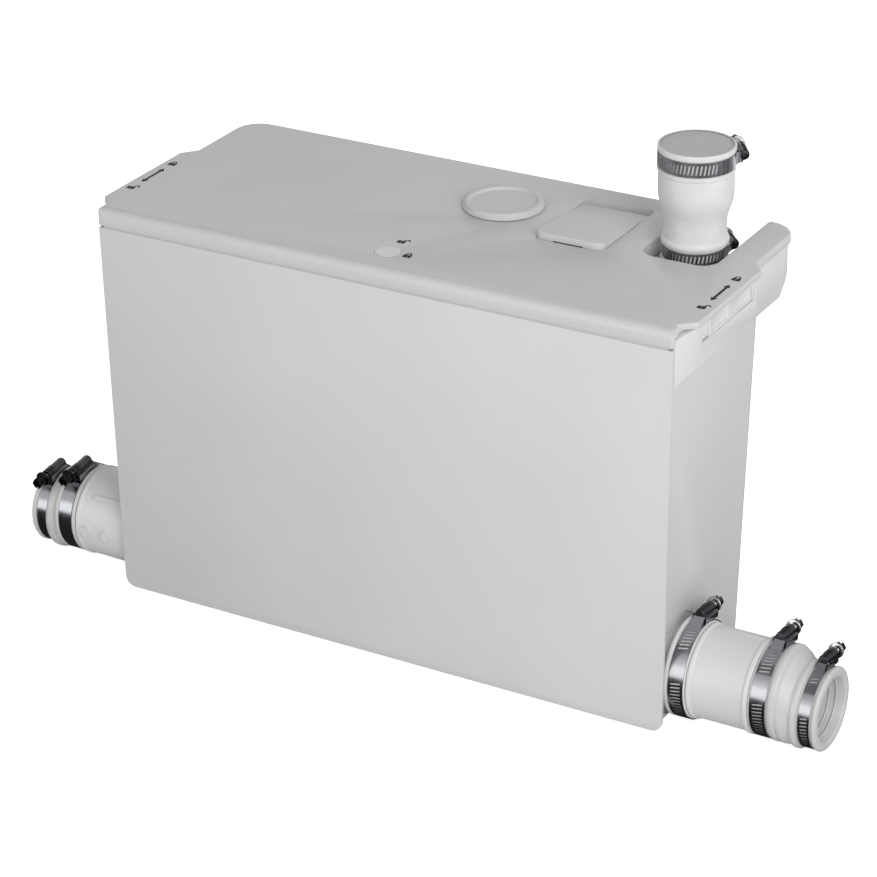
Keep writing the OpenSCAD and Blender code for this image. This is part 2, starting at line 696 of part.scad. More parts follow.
module valve_flap() {
    color("dimgray") difference() {
        union() {
            translate([riser_x, riser_y - 3, valve_z + 0.3]) cylinder(r = 17.5, h = 3);
            translate([riser_x - 7, riser_y, valve_z + 0.5]) cube([14, 16, 2.8]);
            translate([riser_x - 7, hinge_y, hinge_z]) rotate([0, 90, 0])
                cylinder(r = 3.2, h = 14);
        }
        translate([riser_x - 9, hinge_y, hinge_z]) rotate([0, 90, 0])
            cylinder(r = 1.5 + pin_fit, h = 18);
    }
}
module valve_pin() {
    color("silver") translate([riser_x, hinge_y, hinge_z]) rotate([0, 90, 0])
        cylinder(r = 1.5, h = 42, center = true);
}

// Side connectors

left_rim = -tank_w / 2 - left_l;
right_0 = tank_w / 2 + 4;
right_1 = right_0 + 18.4;
right_2 = right_1 + right_l + 7.6;
wall_x = tank_w / 2 - tank_draft_x * (1 - port_z / (rim_z - 2));
// Two reducer shapes share this stepped profile from the grip end outward
module left_stub() {
    color("gainsboro") difference() {
        translate([0, port_y, port_z]) difference() {
        union() {
            turned_x([[left_rim - 15, 0], [left_rim - 15, grip_r - 0.6], [left_rim - 14, grip_r],
                [left_rim - 0.5, grip_r], [left_rim, stub_r - 1], [left_rim + 0.8, stub_r + 0.4],
                [left_rim + 3, stub_r + 0.4], [left_rim + 4, stub_r - 0.6],
                [3 - wall_x, stub_r + 0.6], [3 - wall_x, 0]]);
            // Raised rib line along the front and two round bosses below it
            translate([left_rim + 14, 0, 0]) rotate([46, 0, 0])
                translate([0, -2, stub_r - 2]) cube([-wall_x - left_rim - 16, 4, 2.8]);
            for (d = [10.5, 30.5]) translate([left_rim + d, 0, 0]) rotate([92, 0, 0])
                cylinder(r = 4.6, h = stub_r + 1.4);
        }
        translate([left_rim - 20, 0, 0]) rotate([0, 90, 0])
            cylinder(r = port_bore, h = left_l + 50);
        }
        drafted(tank_w / 2, tank_w / 2 - tank_draft_x, y_tank, y_wall,
            y_wall - tank_draft_y, 0, rim_z - 2, tank_r);
    }
}
// Rings of a reducer: each entry is start, end, radius and share of the drop
module ring_stack(rings, drop) {
    for (q = rings) translate([q[0], 0, -drop * q[3]])
        turned_x([[0, 0], [0, q[2] - 0.9], [0.9, q[2]], [q[1] - q[0] - 0.9, q[2]],
            [q[1] - q[0], q[2] - 0.9], [q[1] - q[0], 0]]);
}
module reducer(rings, grip_l, total, drop) {
    difference() {
        ring_stack(rings, drop);
        translate([-1, 0, 0]) rotate([0, 90, 0]) cylinder(r = grip_r + slip, h = grip_l + 1);
        translate([grip_l, 0, -drop]) rotate([0, 90, 0]) cylinder(r = drain_r, h = total);
        // Rounded lip of the open end
        translate([total - 4, 0, -drop]) turned_x([[0, lip_r], [2.4, lip_r - 0.9],
            [4, lip_r - 3], [5, lip_r - 3], [5, lip_r + 3], [0, lip_r + 3]]);
    }
}
// Places of the clamps along the left reducer and the right reducer
left_wide_s = 10.3;
left_narrow_s = 38.1;
lip_r = 33;
module left_reducer() {
    color("whitesmoke") translate([left_rim - 0.6, port_y, port_z]) mirror([1, 0, 0])
        reducer([[0, 3.6, 37.1, 0], [3, 17.6, 36, 0], [16.6, 21.6, 37, 0], [20.6, 25.6, 34.8, 0.5],
            [24.6, 33, 35.2, 0.8], [32, 44.4, 31.2, 1], [43.4, 48.4, lip_r, 1]],
            15.6, 48.4, left_drop);
}
module right_collar() {
    color("whitesmoke") translate([right_0, port_y, port_z]) difference() {
        turned_x([[0, 0], [0, 38.6], [1, 39.4], [3.2, 39.4], [3.8, 38.4], [18, 38.4], [18, 0]]);
        translate([-1, 0, 0]) rotate([0, 90, 0]) cylinder(r = grip_r + slip, h = 30);
    }
}
module right_pipe() {
    r = pipe_r;
    l = right_2 - right_1;
    color("gainsboro") translate([right_1, port_y, port_z]) difference() {
        union() {
            turned_x([[-5, 0], [-5, grip_r], [-0.4, grip_r], [0, r + 0.6], [0.8, r + 1.4],
                [2.6, r + 1.4], [3.8, r], [l - 4.6, r], [l - 3.6, r + 1.4], [l - 0.9, r + 1.4],
                [l, r + 0.4], [l + 0.2, grip_r], [l + 13.6, grip_r], [l + 14.2, grip_r - 0.6],
                [l + 14.2, 0]]);
            translate([6, 0, 0]) rotate([-8, 0, 0]) translate([0, -0.8, r - 2])
                cube([l - 12, 1.6, 2.6]);
        }
        translate([-20, 0, 0]) rotate([0, 90, 0]) cylinder(r = port_bore, h = 100);
    }
}
right_mid_s = 8.2;
right_out_s = 43.6;
module right_reducer() {
    color("whitesmoke") translate([right_2 + 0.4, port_y, port_z])
        reducer([[0, 1.6, 37.2, 0], [1, 16, 36.4, 0], [15, 21.5, 37.8, 0],
            [20.5, 23.8, 36.8, 0.15], [22.8, 25.8, 35.8, 0.35], [24.8, 27.8, 34.8, 0.55],
            [26.8, 32, 33.3, 0.85], [31, 37.8, 34.2, 1], [37, 50, 31.4, 1], [48.6, 53.5, lip_r, 1]],
            14.8, 53.5, reducer_drop);
}

// Worm-drive hose clamp: slotted band, crimped housing and a screw with a slotted hex head

function seat(r) = r + 0.05;
worm_up = worm_r + 2.6;
// End of a worm housing, towards the screw's head
worm_end = 5 + worm_l / 2;
module clamp_band(r, w, groups = [[26, slot_n - 2], [90, slot_n + 3]], l = worm_l) {
    y = seat(r) + band_t;
    step = 360 * slot_pitch / (2 * PI * y);
    color("silver") difference() {
        union() {
            cylinder(r = y, h = w, center = true);
            translate([worm_end - l, 0, 0]) {
                translate([0, y - 4, -w / 2]) cube([l, 6.5, w]);
                translate([0, y - 0.4, -w / 2 - 0.3]) cube([l, 3.2, w + 0.6]);
                translate([0, y, -worm_r - 1]) cube([l, worm_up, 2 * worm_r + 2]);
                translate([l - 8, y + 0.9, -w / 2 - 0.3]) cube([9.5, worm_up - 1, w + 0.6]);
                translate([0, y + worm_up, 0]) rotate([0, 90, 0])
                    cylinder(r = worm_r + 1, h = l);
                // Tongue that rises from the band in front of the housing
                translate([-7, 0, 0]) intersection() {
                    translate([0, y - 4, -w * 0.36]) cube([8, worm_up + 6, w * 0.72]);
                    translate([0, 0, -w]) linear_extrude(2 * w)
                        polygon([[0, y - 5], [0, y - 0.2], [7.6, y + worm_up + 2], [7.6, y - 5]]);
                }
            }
        }
        cylinder(r = seat(r), h = w + 20, center = true);
        translate([worm_end - l + 1.6, y + worm_up, 0]) rotate([0, 90, 0])
            cylinder(r = worm_r + 0.15, h = 80);
        for (g = groups, i = [0:g[1] - 1]) rotate([0, 0, g[0] + i * step])
            translate([0, y, 0]) rotate([0, 10, 0]) cube([1.3, 6, w * 0.68], center = true);
    }
}
module clamp_screw(r, neck = 6) {
    y = seat(r) + band_t + worm_up;
    color("dimgray") translate([worm_end, y, 0]) rotate([0, 90, 0]) difference() {
        union() {
            translate([0, 0, 2.4 - worm_l]) cylinder(r = worm_r, h = worm_l - 3.4);
            translate([0, 0, -2]) cylinder(r = 2.6, h = neck + 3);
            translate([0, 0, neck]) cylinder(r = head_af * 0.78, h = 1.7);
            translate([0, 0, neck + 1.6]) cylinder(r = head_af / 1.732, h = 8.4, $fn = 6);
        }
        translate([-0.7, -10, neck + 8]) cube([1.4, 20, 4]);
    }
}
// Clamp frames: the worm lies near the top of a side connector, and behind the riser
module on_port(x, drop, tilt = 8) {
    translate([x, port_y, port_z - drop]) rotate([-tilt, 0, 0]) rotate([90, 0, 90])
        children();
}
module on_left(s, drop) {
    on_port(left_rim - 0.6 - s, drop, -8) mirror([1, 0, 0]) children();
}
module on_riser(z, turn) {
    translate([riser_x, riser_y, z]) rotate([0, 0, -turn]) mirror([1, 0, 0]) children();
}
module clamp_left_wide() {
    on_left(left_wide_s, 0) clamp_band(36, band_w, l = worm_l + 4);
}
module screw_left_wide() {
    on_left(left_wide_s, 0) clamp_screw(36);
}
module clamp_left_narrow() {
    on_left(left_narrow_s, left_drop) clamp_band(31.2, band_n, l = worm_l + 4);
}
module screw_left_narrow() {
    on_left(left_narrow_s, left_drop) clamp_screw(31.2);
}
module clamp_right_inner() {
    on_port(right_0 + 11, 0) clamp_band(38.4, band_w);
}
module screw_right_inner() {
    on_port(right_0 + 11, 0) clamp_screw(38.4);
}
module clamp_right_middle() {
    on_port(right_2 + 0.4 + right_mid_s, 0) clamp_band(36.4, band_w);
}
module screw_right_middle() {
    on_port(right_2 + 0.4 + right_mid_s, 0) clamp_screw(36.4);
}
module clamp_right_outer() {
    on_port(right_2 + 0.4 + right_out_s, reducer_drop) clamp_band(31.4, band_n, [[30, 2], [88, slot_n + 4]]);
}
module screw_right_outer() {
    on_port(right_2 + 0.4 + right_out_s, reducer_drop) clamp_screw(31.4);
}
module clamp_riser_top() {
    on_riser(riser_top_z, 52) clamp_band(sleeve_r - 1.1, band_w - 1, [[72, slot_n + 9]]);
}
module screw_riser_top() {
    on_riser(riser_top_z, 52) clamp_screw(sleeve_r - 1.1);
}
module clamp_riser_bottom() {
    on_riser(riser_low_z, 44) clamp_band(sleeve_neck_r, band_n, [[60, slot_n + 8]]);
}
module screw_riser_bottom() {
    on_riser(riser_low_z, 44) clamp_screw(sleeve_neck_r, 1.9);
}

// Pump

module pump_base() {
    w = tank_wall;
    color("darkslategray") translate([pump_x, pump_y, 0]) difference() {
        union() {
            translate([0, 0, w + 6]) cylinder(r = volute_r, h = 46);
            for (a = [30, 150, 270]) rotate([0, 0, a]) translate([volute_r - 10, 0, w])
                cylinder(r = 7, h = 8);
            translate([0, 0, 34]) rotate([0, 90, 0]) cylinder(r = 20, h = 84);
        }
        translate([0, 0, w + 12]) cylinder(r = 47, h = 30);
        translate([0, 0, w]) cylinder(r = 26, h = 20);
        translate([0, 0, 34]) rotate([0, 90, 0]) cylinder(r = 15, h = 100);
        translate([0, 0, 40]) cylinder(r = 11, h = 30);
    }
}
module motor_housing() {
    z0 = tank_wall + 52;
    r = motor_r;
    color("slategray") translate([pump_x, pump_y, 0]) rotate_extrude()
        polygon([[shaft_r + 5, z0], [r, z0], [r, motor_top - 8], [r - 8, motor_top],
            [0, motor_top], [0, motor_top - 5], [16, motor_top - 5], [16, motor_top - 20],
            [20, motor_top - 20], [20, motor_top - 6], [r - 9, motor_top - 6],
            [r - 4, motor_top - 11], [r - 4, z0 + 4], [20, z0 + 4], [20, z0 + 17],
            [16, z0 + 17], [16, z0 + 4], [shaft_r + 5, z0 + 4]]);
}
module motor_stator() {
    color("peru") translate([pump_x, pump_y, 95]) difference() {
        cylinder(r = motor_r - 4, h = 60);
        translate([0, 0, -1]) cylinder(r = 29, h = 62);
    }
}
module motor_rotor() {
    color("silver") translate([pump_x, pump_y, 93]) difference() {
        cylinder(r = 28, h = 64);
        translate([0, 0, -1]) cylinder(r = shaft_r, h = 70);
    }
}
module pump_shaft() {
    color("silver") translate([pump_x, pump_y, 9]) cylinder(r = shaft_r, h = motor_top - 15);
}
module bearing(z) {
    color("lightsteelblue") translate([pump_x, pump_y, z]) rotate_extrude()
        polygon([[shaft_r + 0.05, 0], [shaft_r + 3, 0], [shaft_r + 3, 1], [13, 1], [13, 0], [16, 0],
            [16, 12], [13, 12], [13, 11], [shaft_r + 3, 11], [shaft_r + 3, 12], [shaft_r + 0.05, 12]]);
}
module bearing_lower() {
    bearing(tank_wall + 56.5);
}
module bearing_upper() {
    bearing(motor_top - 18);
}
module shaft_seal() {
    color("dimgray") translate([pump_x, pump_y, tank_wall + 42]) difference() {
        cylinder(r = 11, h = 10);
        translate([0, 0, -1]) cylinder(r = shaft_r + pin_fit, h = 12);
    }
}
module impeller() {
    z0 = tank_wall + 18;
    color("darkgray") translate([pump_x, pump_y, z0]) difference() {
        union() {
            cylinder(r = 11, h = 20);
            translate([0, 0, 16]) cylinder(r = 43, h = 3);
            for (i = [0:vanes - 1]) rotate([0, 0, i * 360 / vanes]) difference() {
                translate([22, 0, 1]) cylinder(r = 20, h = 16);
                translate([22, 0, 0]) cylinder(r = 17.5, h = 18);
                translate([-30, -60, 0]) cube([120, 60, 20]);
            }
        }
        translate([0, 0, -1]) cylinder(r = shaft_r, h = 30);
    }
}
module cutter() {
    color("silver") translate([pump_x, pump_y, tank_wall + 7]) difference() {
        union() {
            cylinder(r = 10, h = 11);
            for (a = [0, 180]) rotate([0, 0, a]) difference() {
                translate([0, -5, 0]) cube([24, 10, 4]);
                translate([10, 5, -1]) rotate([0, 0, -18]) cube([20, 10, 6]);
            }
        }
        translate([0, 0, -1]) cylinder(r = shaft_r, h = 30);
    }
}
// Quarter bend from +X up to +Z that starts at the origin
module bend(r) {
    translate([0, 0, pipe_bend]) rotate([90, 0, 0]) rotate([0, 0, -90])
        rotate_extrude(angle = 90) translate([pipe_bend, 0]) circle(r = r);
}
pipe_bend = 26;
module discharge_path(r, e) {
    x0 = pump_x + 84;
    x1 = riser_x - pipe_bend;
    z1 = alcove_z - tank_wall - 2 * pipe_bend - 4;
    y2 = pump_y + pipe_bend;
    y3 = riser_y - pipe_bend;
    translate([x0 - e, pump_y, 34]) rotate([0, 90, 0]) cylinder(r = r, h = x1 - x0 + e);
    translate([x1, pump_y, 34]) bend(r);
    translate([riser_x, pump_y, 34 + pipe_bend]) cylinder(r = r, h = z1 - 34 - pipe_bend);
    translate([riser_x, y2, z1 + pipe_bend]) rotate([0, 0, -90]) mirror([0, 0, 1])
        bend(r);
    translate([riser_x, y2, z1 + pipe_bend]) rotate([-90, 0, 0])
        cylinder(r = r, h = y3 - y2);
    translate([riser_x, y3, z1 + pipe_bend]) rotate([0, 0, 90]) bend(r);
    translate([riser_x, riser_y, z1 + 2 * pipe_bend]) cylinder(r = r, h = 4 + e);
}
module discharge_pipe() {
    color("dimgray") difference() {
        discharge_path(18, 0);
        discharge_path(15, 1);
    }
}

// Inside

module service_deck() {
    x0 = tank_w / 2 - tank_draft_x - tank_wall - 1;
    x1 = deck_x1;
    y0 = y_tank + tank_wall + 1;
    y1 = wall_y(deck_z) - tank_wall - 1.5;
    color("lightgray") translate([0, 0, deck_z]) difference() {
        linear_extrude(4) polygon([[-x0 + 9, y0], [x1, y0], [x1, y1], [-x0 + 9, y1],
            [-x0, y1 - 9], [-x0, y0 + 9]]);
        translate([level_x, level_y, -1]) cylinder(r = level_r, h = 10);
        for (i = [0:5]) translate([-20 + i * 12, 20, -1]) cube([5, 30, 6]);
    }
}
level_x = 60;
level_y = -66;
module level_tube() {
    color("gray") translate([level_x, level_y, tank_wall + 18]) difference() {
        cylinder(r = level_r, h = deck_z - tank_wall - 14);
        translate([0, 0, -1]) cylinder(r = level_r - 2.5, h = deck_z);
    }
}
module pressure_switch() {
    color("dimgray") translate([level_x, level_y, deck_z + 4]) {
        cylinder(r = level_r + 12, h = 14);
        translate([0, 0, 13]) cylinder(r = level_r + 4, h = 12);
        translate([-6, level_r, 4]) cube([12, 20, 8]);
    }
}
module control_box() {
    x0 = pump_x - 70;
    color("gray") translate([x0, -62, deck_z + 4]) difference() {
        cube([130, 84, 44]);
        translate([-1, -1, 34]) difference() {
            cube([132, 86, 1.5]);
            translate([2, 2, -1]) cube([128, 82, 4]);
        }
        for (x = [8, 122], y = [8, 76]) translate([x, y, 40]) cylinder(r = 3, h = 10);
    }
}
module cable_gland() {
    y0 = wall_y(gland_z);
    color("dimgray") translate([gland_x, 0, gland_z]) rotate([-90, 0, 0]) difference() {
        union() {
            translate([0, 0, y0 - tank_wall - 8]) cylinder(r = 7.8, h = 30);
            translate([0, 0, y0 + 1]) cylinder(r = 13, h = 6, $fn = 6);
            translate([0, 0, y0 + 7]) cylinder(r = 11, h = 12);
            translate([0, 0, y0 - tank_wall - 5]) cylinder(r = 12, h = 4, $fn = 6);
        }
        translate([0, 0, y0 - 30]) cylinder(r = 4, h = 80);
    }
}

tank();
rear_inlet();
front_cover();
lid();
lid_seal();
latch_left();
latch_right();
quarter_turn_lock();
inspection_cap();
cap_seal();
service_flap();
flap_pin();
filter_cartridge();
riser_sleeve();
valve_body();
valve_flap();
valve_pin();
left_stub();
left_reducer();
right_collar();
right_pipe();
right_reducer();
clamp_left_wide();
clamp_left_narrow();
clamp_right_inner();
clamp_right_middle();
clamp_right_outer();
clamp_riser_top();
clamp_riser_bottom();
screw_left_wide();
screw_left_narrow();
screw_right_inner();
screw_right_middle();
screw_right_outer();
screw_riser_top();
screw_riser_bottom();
pump_base();
motor_housing();
motor_stator();
motor_rotor();
pump_shaft();
bearing_lower();
bearing_upper();
shaft_seal();
impeller();
cutter();
discharge_pipe();
service_deck();
level_tube();
pressure_switch();
control_box();
cable_gland();
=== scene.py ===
# Sewage lifting unit: finishes, worked edges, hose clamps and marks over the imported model.
import bpy
import bmesh
import json
import math
from mathutils import Matrix, Vector


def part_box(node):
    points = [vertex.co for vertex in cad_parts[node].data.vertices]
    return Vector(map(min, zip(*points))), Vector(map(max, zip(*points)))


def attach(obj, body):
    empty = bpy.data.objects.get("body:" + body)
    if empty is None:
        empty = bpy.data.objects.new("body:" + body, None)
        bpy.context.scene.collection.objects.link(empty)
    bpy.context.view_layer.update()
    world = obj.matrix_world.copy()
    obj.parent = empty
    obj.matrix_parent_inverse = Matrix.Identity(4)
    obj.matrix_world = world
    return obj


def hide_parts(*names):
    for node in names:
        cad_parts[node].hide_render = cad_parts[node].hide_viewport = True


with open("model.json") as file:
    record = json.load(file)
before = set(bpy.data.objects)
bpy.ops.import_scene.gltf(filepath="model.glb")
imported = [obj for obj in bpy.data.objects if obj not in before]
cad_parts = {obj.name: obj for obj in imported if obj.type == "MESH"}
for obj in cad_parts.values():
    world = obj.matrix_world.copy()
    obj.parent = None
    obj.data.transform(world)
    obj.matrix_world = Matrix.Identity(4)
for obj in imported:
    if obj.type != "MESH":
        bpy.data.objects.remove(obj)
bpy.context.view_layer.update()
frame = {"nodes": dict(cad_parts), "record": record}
nodes = frame["nodes"]
bodyOf = {n: b for b, members in frame["record"]["behaviour"]["bodies"].items() for n in members}
slotOf = {s["node"]: s["material_slot"] for s in frame["record"]["subparts"]}
mm = 0.001


def srgb(hexColour):  # hex as seen on screen to the linear values that Blender wants
    parts = [int(hexColour[i:i + 2], 16) / 255 for i in (1, 3, 5)]
    return [c / 12.92 if c <= 0.04045 else ((c + 0.055) / 1.055) ** 2.4 for c in parts] + [1]


def addNode(tree, kind, settings=(), inputs=()):
    made = tree.nodes.new(kind)
    for key, value in dict(settings).items():
        setattr(made, key, value)
    for key, value in dict(inputs).items():
        manySockets = isinstance(value, list) and isinstance(value[0], bpy.types.NodeSocket)
        for link in value if manySockets else [value]:
            if isinstance(link, bpy.types.NodeSocket):
                tree.links.new(link, made.inputs[key])
            else:
                made.inputs[key].default_value = link
    return made


def addObject(name, data):
    made = bpy.data.objects.new(name, data)
    bpy.context.scene.collection.objects.link(made)
    return made


def takeMesh(name, work):
    mesh = bpy.data.meshes.new(name)
    work.to_mesh(mesh)
    work.free()
    return mesh


# Faces between neighbouring rings of corners, all with the same number of them
def skin(work, rings):
    for a, b in zip(rings, rings[1:]):
        for i in range(len(a)):
            j = (i + 1) % len(a)
            work.faces.new((a[i], a[j], b[j], b[i]))


# Camera, fitted to the photograph's perspective
print("camera")
cameraFit = {
    "target": (55.37, -110.0, 207.15),  # mm
    "distance": 2405.93,
    "azimuth": 0.5288,
    "elevation": 0.4594,
    "roll": -0.0174,
    "lens": 130.44,
}


def makeCamera(v):
    az, el, roll = v["azimuth"], v["elevation"], v["roll"]
    back = Vector((math.sin(az) * math.cos(el), -math.cos(az) * math.cos(el), math.sin(el)))
    right = (-back).cross(Vector((0, 0, 1))).normalized()
    up = right.cross(-back)
    turnedRight = right * math.cos(roll) + up * math.sin(roll)
    turnedUp = up * math.cos(roll) - right * math.sin(roll)
    lens = bpy.data.cameras.new("photoCamera")
    lens.lens = v["lens"]
    lens.sensor_width = 36
    lens.clip_start, lens.clip_end = 0.05, 50
    camera = addObject("photoCamera", lens)
    place = Vector(v["target"]) * mm + back * v["distance"] * mm
    turned = Matrix((turnedRight, turnedUp, back)).transposed().to_4x4()
    camera.matrix_world = Matrix.Translation(place) @ turned
    bpy.context.scene.camera = camera


makeCamera(cameraFit)

# Finishes
print("materials")


def newMaterial(name):
    material = bpy.data.materials.new(name)
    material.use_nodes = True
    tree = material.node_tree
    shader = next(n for n in tree.nodes if n.type == "BSDF_PRINCIPLED")
    place = addNode(tree, "ShaderNodeTexCoord")
    return material, tree, shader, place.outputs["Object"]


def mixTint(tree, factor, dark, light):
    tint = addNode(tree, "ShaderNodeMix", {"data_type": "RGBA"}, {
        "Factor": factor, 6: srgb(dark), 7: srgb(light)})
    return tint.outputs[2]


def spread(tree, value, low, high, toLow=0.0, toHigh=1.0):
    ranged = addNode(tree, "ShaderNodeMapRange", {}, {
        "Value": value, "From Min": low, "From Max": high, "To Min": toLow, "To Max": toHigh})
    return ranged.outputs["Result"]


# Injection-moulded thermoplastic with a spark-eroded texture: a dry, even skin whose fine grain
# breaks the highlight. grain is the texture's size in mm, cloud that of the flow marks.
def mouldedPlastic(name, light, dark, roughness, grain, depth, cloud=130.0):
    material, tree, shader, place = newMaterial(name)
    fine = addNode(tree, "ShaderNodeTexNoise", {}, {
        "Vector": place, "Scale": 1 / (grain * mm), "Detail": 3.0, "Roughness": 0.6})
    broad = addNode(tree, "ShaderNodeTexNoise", {}, {
        "Vector": place, "Scale": 1 / (cloud * mm), "Detail": 2.0, "Roughness": 0.4})
    speck = addNode(tree, "ShaderNodeMath", {"operation": "MULTIPLY_ADD"}, {
        0: fine.outputs["Fac"], 1: 0.7, 2: broad.outputs["Fac"]})
    tree.links.new(mixTint(tree, spread(tree, speck.outputs[0], 0.5, 1.2), dark, light),
                   shader.inputs["Base Color"])
    tree.links.new(spread(tree, fine.outputs["Fac"], 0.3, 0.7, roughness - 0.06, roughness + 0.06),
                   shader.inputs["Roughness"])
    bump = addNode(tree, "ShaderNodeBump", {}, {
        "Strength": 0.5, "Distance": depth * mm, "Height": fine.outputs["Fac"]})
    tree.links.new(bump.outputs["Normal"], shader.inputs["Normal"])
    shader.inputs["IOR"].default_value = 1.5
    return material


# Compression-moulded rubber: soft sheen with a faint bloom, pores of under a millimetre
def rubberSkin(name, light, dark, roughness):
    material, tree, shader, place = newMaterial(name)
    bloom = addNode(tree, "ShaderNodeTexNoise", {}, {
        "Vector": place, "Scale": 1 / (14 * mm), "Detail": 5.0, "Roughness": 0.62})
    pores = addNode(tree, "ShaderNodeTexNoise", {}, {
        "Vector": place, "Scale": 1 / (0.9 * mm), "Detail": 2.0})
    tree.links.new(mixTint(tree, spread(tree, bloom.outputs["Fac"], 0.3, 0.7), dark, light),
                   shader.inputs["Base Color"])
    bump = addNode(tree, "ShaderNodeBump", {}, {
        "Strength": 0.3, "Distance": 0.05 * mm, "Height": pores.outputs["Fac"]})
    tree.links.new(bump.outputs["Normal"], shader.inputs["Normal"])
    tree.links.new(spread(tree, bloom.outputs["Fac"], 0.3, 0.7, roughness - 0.07, roughness + 0.07),
                   shader.inputs["Roughness"])
    shader.inputs["IOR"].default_value = 1.52
    return material


# Cold-rolled or turned metal: fine lines that draw the reflection out across them.
# streak is the spacing of the lines in mm along X, Y and Z, as coarse as the render can show.
def rolledMetal(name, light, dark, roughness, streak, depth=0.015):
    material, tree, shader, place = newMaterial(name)
    stretch = addNode(tree, "ShaderNodeMapping", {}, {
        "Vector": place, "Scale": [1 / (s * mm) for s in streak]})
    lines = addNode(tree, "ShaderNodeTexNoise", {}, {
        "Vector": stretch.outputs["Vector"], "Scale": 1.0, "Detail": 3.0, "Roughness": 0.6})
    tree.links.new(mixTint(tree, lines.outputs["Fac"], dark, light), shader.inputs["Base Color"])
    dulled = spread(tree, lines.outputs["Fac"], 0.25, 0.75, roughness - 0.06, roughness + 0.08)
    tree.links.new(dulled, shader.inputs["Roughness"])
    bump = addNode(tree, "ShaderNodeBump", {}, {
        "Strength": 0.3, "Distance": depth * mm, "Height": lines.outputs["Fac"]})
    tree.links.new(bump.outputs["Normal"], shader.inputs["Normal"])
    shader.inputs["Metallic"].default_value = 1.0
    return material


# Sand or die casting: pitted skin, grain in mm, with broad stains
def castMetal(name, light, dark, roughness, metallic, grain):
    material, tree, shader, place = newMaterial(name)
    skin = addNode(tree, "ShaderNodeTexVoronoi", {"feature": "SMOOTH_F1"}, {
        "Vector": place, "Scale": 1 / (grain * mm)})
    stain = addNode(tree, "ShaderNodeTexNoise", {}, {
        "Vector": place, "Scale": 1 / (22 * mm), "Detail": 5.0})
    tree.links.new(mixTint(tree, stain.outputs["Fac"], dark, light), shader.inputs["Base Color"])
    bump = addNode(tree, "ShaderNodeBump", {}, {
        "Strength": 0.5, "Distance": 0.12 * mm, "Height": skin.outputs["Distance"]})
    tree.links.new(bump.outputs["Normal"], shader.inputs["Normal"])
    shader.inputs["Metallic"].default_value = metallic
    shader.inputs["Roughness"].default_value = roughness
    return material


finishes = {
    "tank_plastic": mouldedPlastic("texturedPolypropylene", "#d8d8d8", "#d0d0d1", 0.5, 0.9, 0.05),
    "cover_plastic": mouldedPlastic("texturedCoverPlastic", "#d0d0d1", "#c9c9ca", 0.48, 0.8, 0.05),
    "lid_plastic": mouldedPlastic("texturedLidPlastic", "#cecece", "#c7c7c8", 0.46, 0.8, 0.05),
    "latch_plastic": mouldedPlastic("smoothLatchPlastic", "#dbdbdb", "#d5d5d5", 0.36, 1.6, 0.02),
    "white_rubber": rubberSkin("whiteMouldedRubber", "#dededd", "#d7d7d6", 0.42),
    "dark_rubber": rubberSkin("blackSealRubber", "#2a2a2a", "#1d1d1d", 0.5),
    "band_steel": rolledMetal("rolledStainlessBand", "#a9aaae", "#8d8e93", 0.2, (0.5, 30, 30)),
    # Painted reflection: the screws' steel is made dark, standing in for the dark surroundings that
    # the metal reflects
    "screw_steel": rolledMetal("blackOxideSteel", "#3a3b3e", "#1f2022", 0.3, (2, 2, 2)),
    "pin_steel": rolledMetal("turnedSteel", "#cfd0d2", "#aeafb2", 0.22, (8, 8, 0.4)),
    "charcoal": castMetal("activatedCharcoal", "#2c2c2b", "#121211", 0.85, 0.0, 1.4),
    "valve_plastic": mouldedPlastic("glassFilledPlastic", "#55575a", "#46484b", 0.42, 0.7, 0.05),
    "pump_iron": castMetal("greyIronCasting", "#5b6066", "#474c52", 0.55, 0.6, 1.1),
    "motor_alloy": castMetal("diecastAluminium", "#a9abad", "#949699", 0.42, 0.85, 0.8),
    "winding": rolledMetal("varnishedCopperWire", "#c0764a", "#7e4526", 0.35, (1.2, 1.2, 40)),
}
extraFinishes = {
    # Painted reflection: the clamp housings' steel is made dark, standing in for the dark
    # surroundings that the polished metal reflects
    "housing": rolledMetal("blackPassivatedSteel", "#4c4d50", "#2c2d2f", 0.3, (3, 3, 3)),
    # Painted shade: the flat recessed disc on top of the riser sleeve is coloured darker grey than
    # the sleeve, standing in for the shade that falls on it
    "membrane": rubberSkin("greyRubberDisc", "#bdbdbe", "#b4b4b5", 0.5),
    "reducer": rubberSkin("greyMouldedRubber", "#cbcbca", "#c2c2c1", 0.42),
    # Painted shade: the step from the riser sleeve's rim down to its disc is coloured darker,
    # standing in for the shade in the groove
    "shadowGroove": rubberSkin("grimeInGroove", "#9b9b9a", "#858584", 0.7),
    "mark": mouldedPlastic("blackHotFoilMark", "#0a0a0b", "#050505", 0.7, 0.4, 0.01),
}

# Carried-over solids, with worked edges
print("solids")
# node or first word of its name: radius of the edges in mm, angle from which an edge counts
edgeRound = {
    "front_cover": (1.2, 30),
    "lid": (0.6, 40),
    "tank": (0.7, 35),
    "screw": (0.3, 40),
    "riser_sleeve": (0.25, 9),
    "other": (0.5, 35),
}


def camel(name):
    words = name.split("_")
    return words[0] + "".join(w.capitalize() for w in words[1:])


# Applies the modifiers and smooths the faces, with crisp edges where they turn sharply
def finishMesh(piece, angle):
    graph = bpy.context.evaluated_depsgraph_get()
    made = bpy.data.meshes.new_from_object(piece.evaluated_get(graph))
    piece.modifiers.clear()
    piece.data = made
    for face in made.polygons:
        face.use_smooth = True
    made.set_sharp_from_angle(angle=math.radians(angle))


def addBevel(piece, radius, angle):
    bevel = piece.modifiers.new("roundedEdges", "BEVEL")
    bevel.width = radius * mm
    bevel.segments = 2
    bevel.limit_method = "ANGLE"
    bevel.angle_limit = math.radians(angle)
    bevel.use_clamp_overlap = True


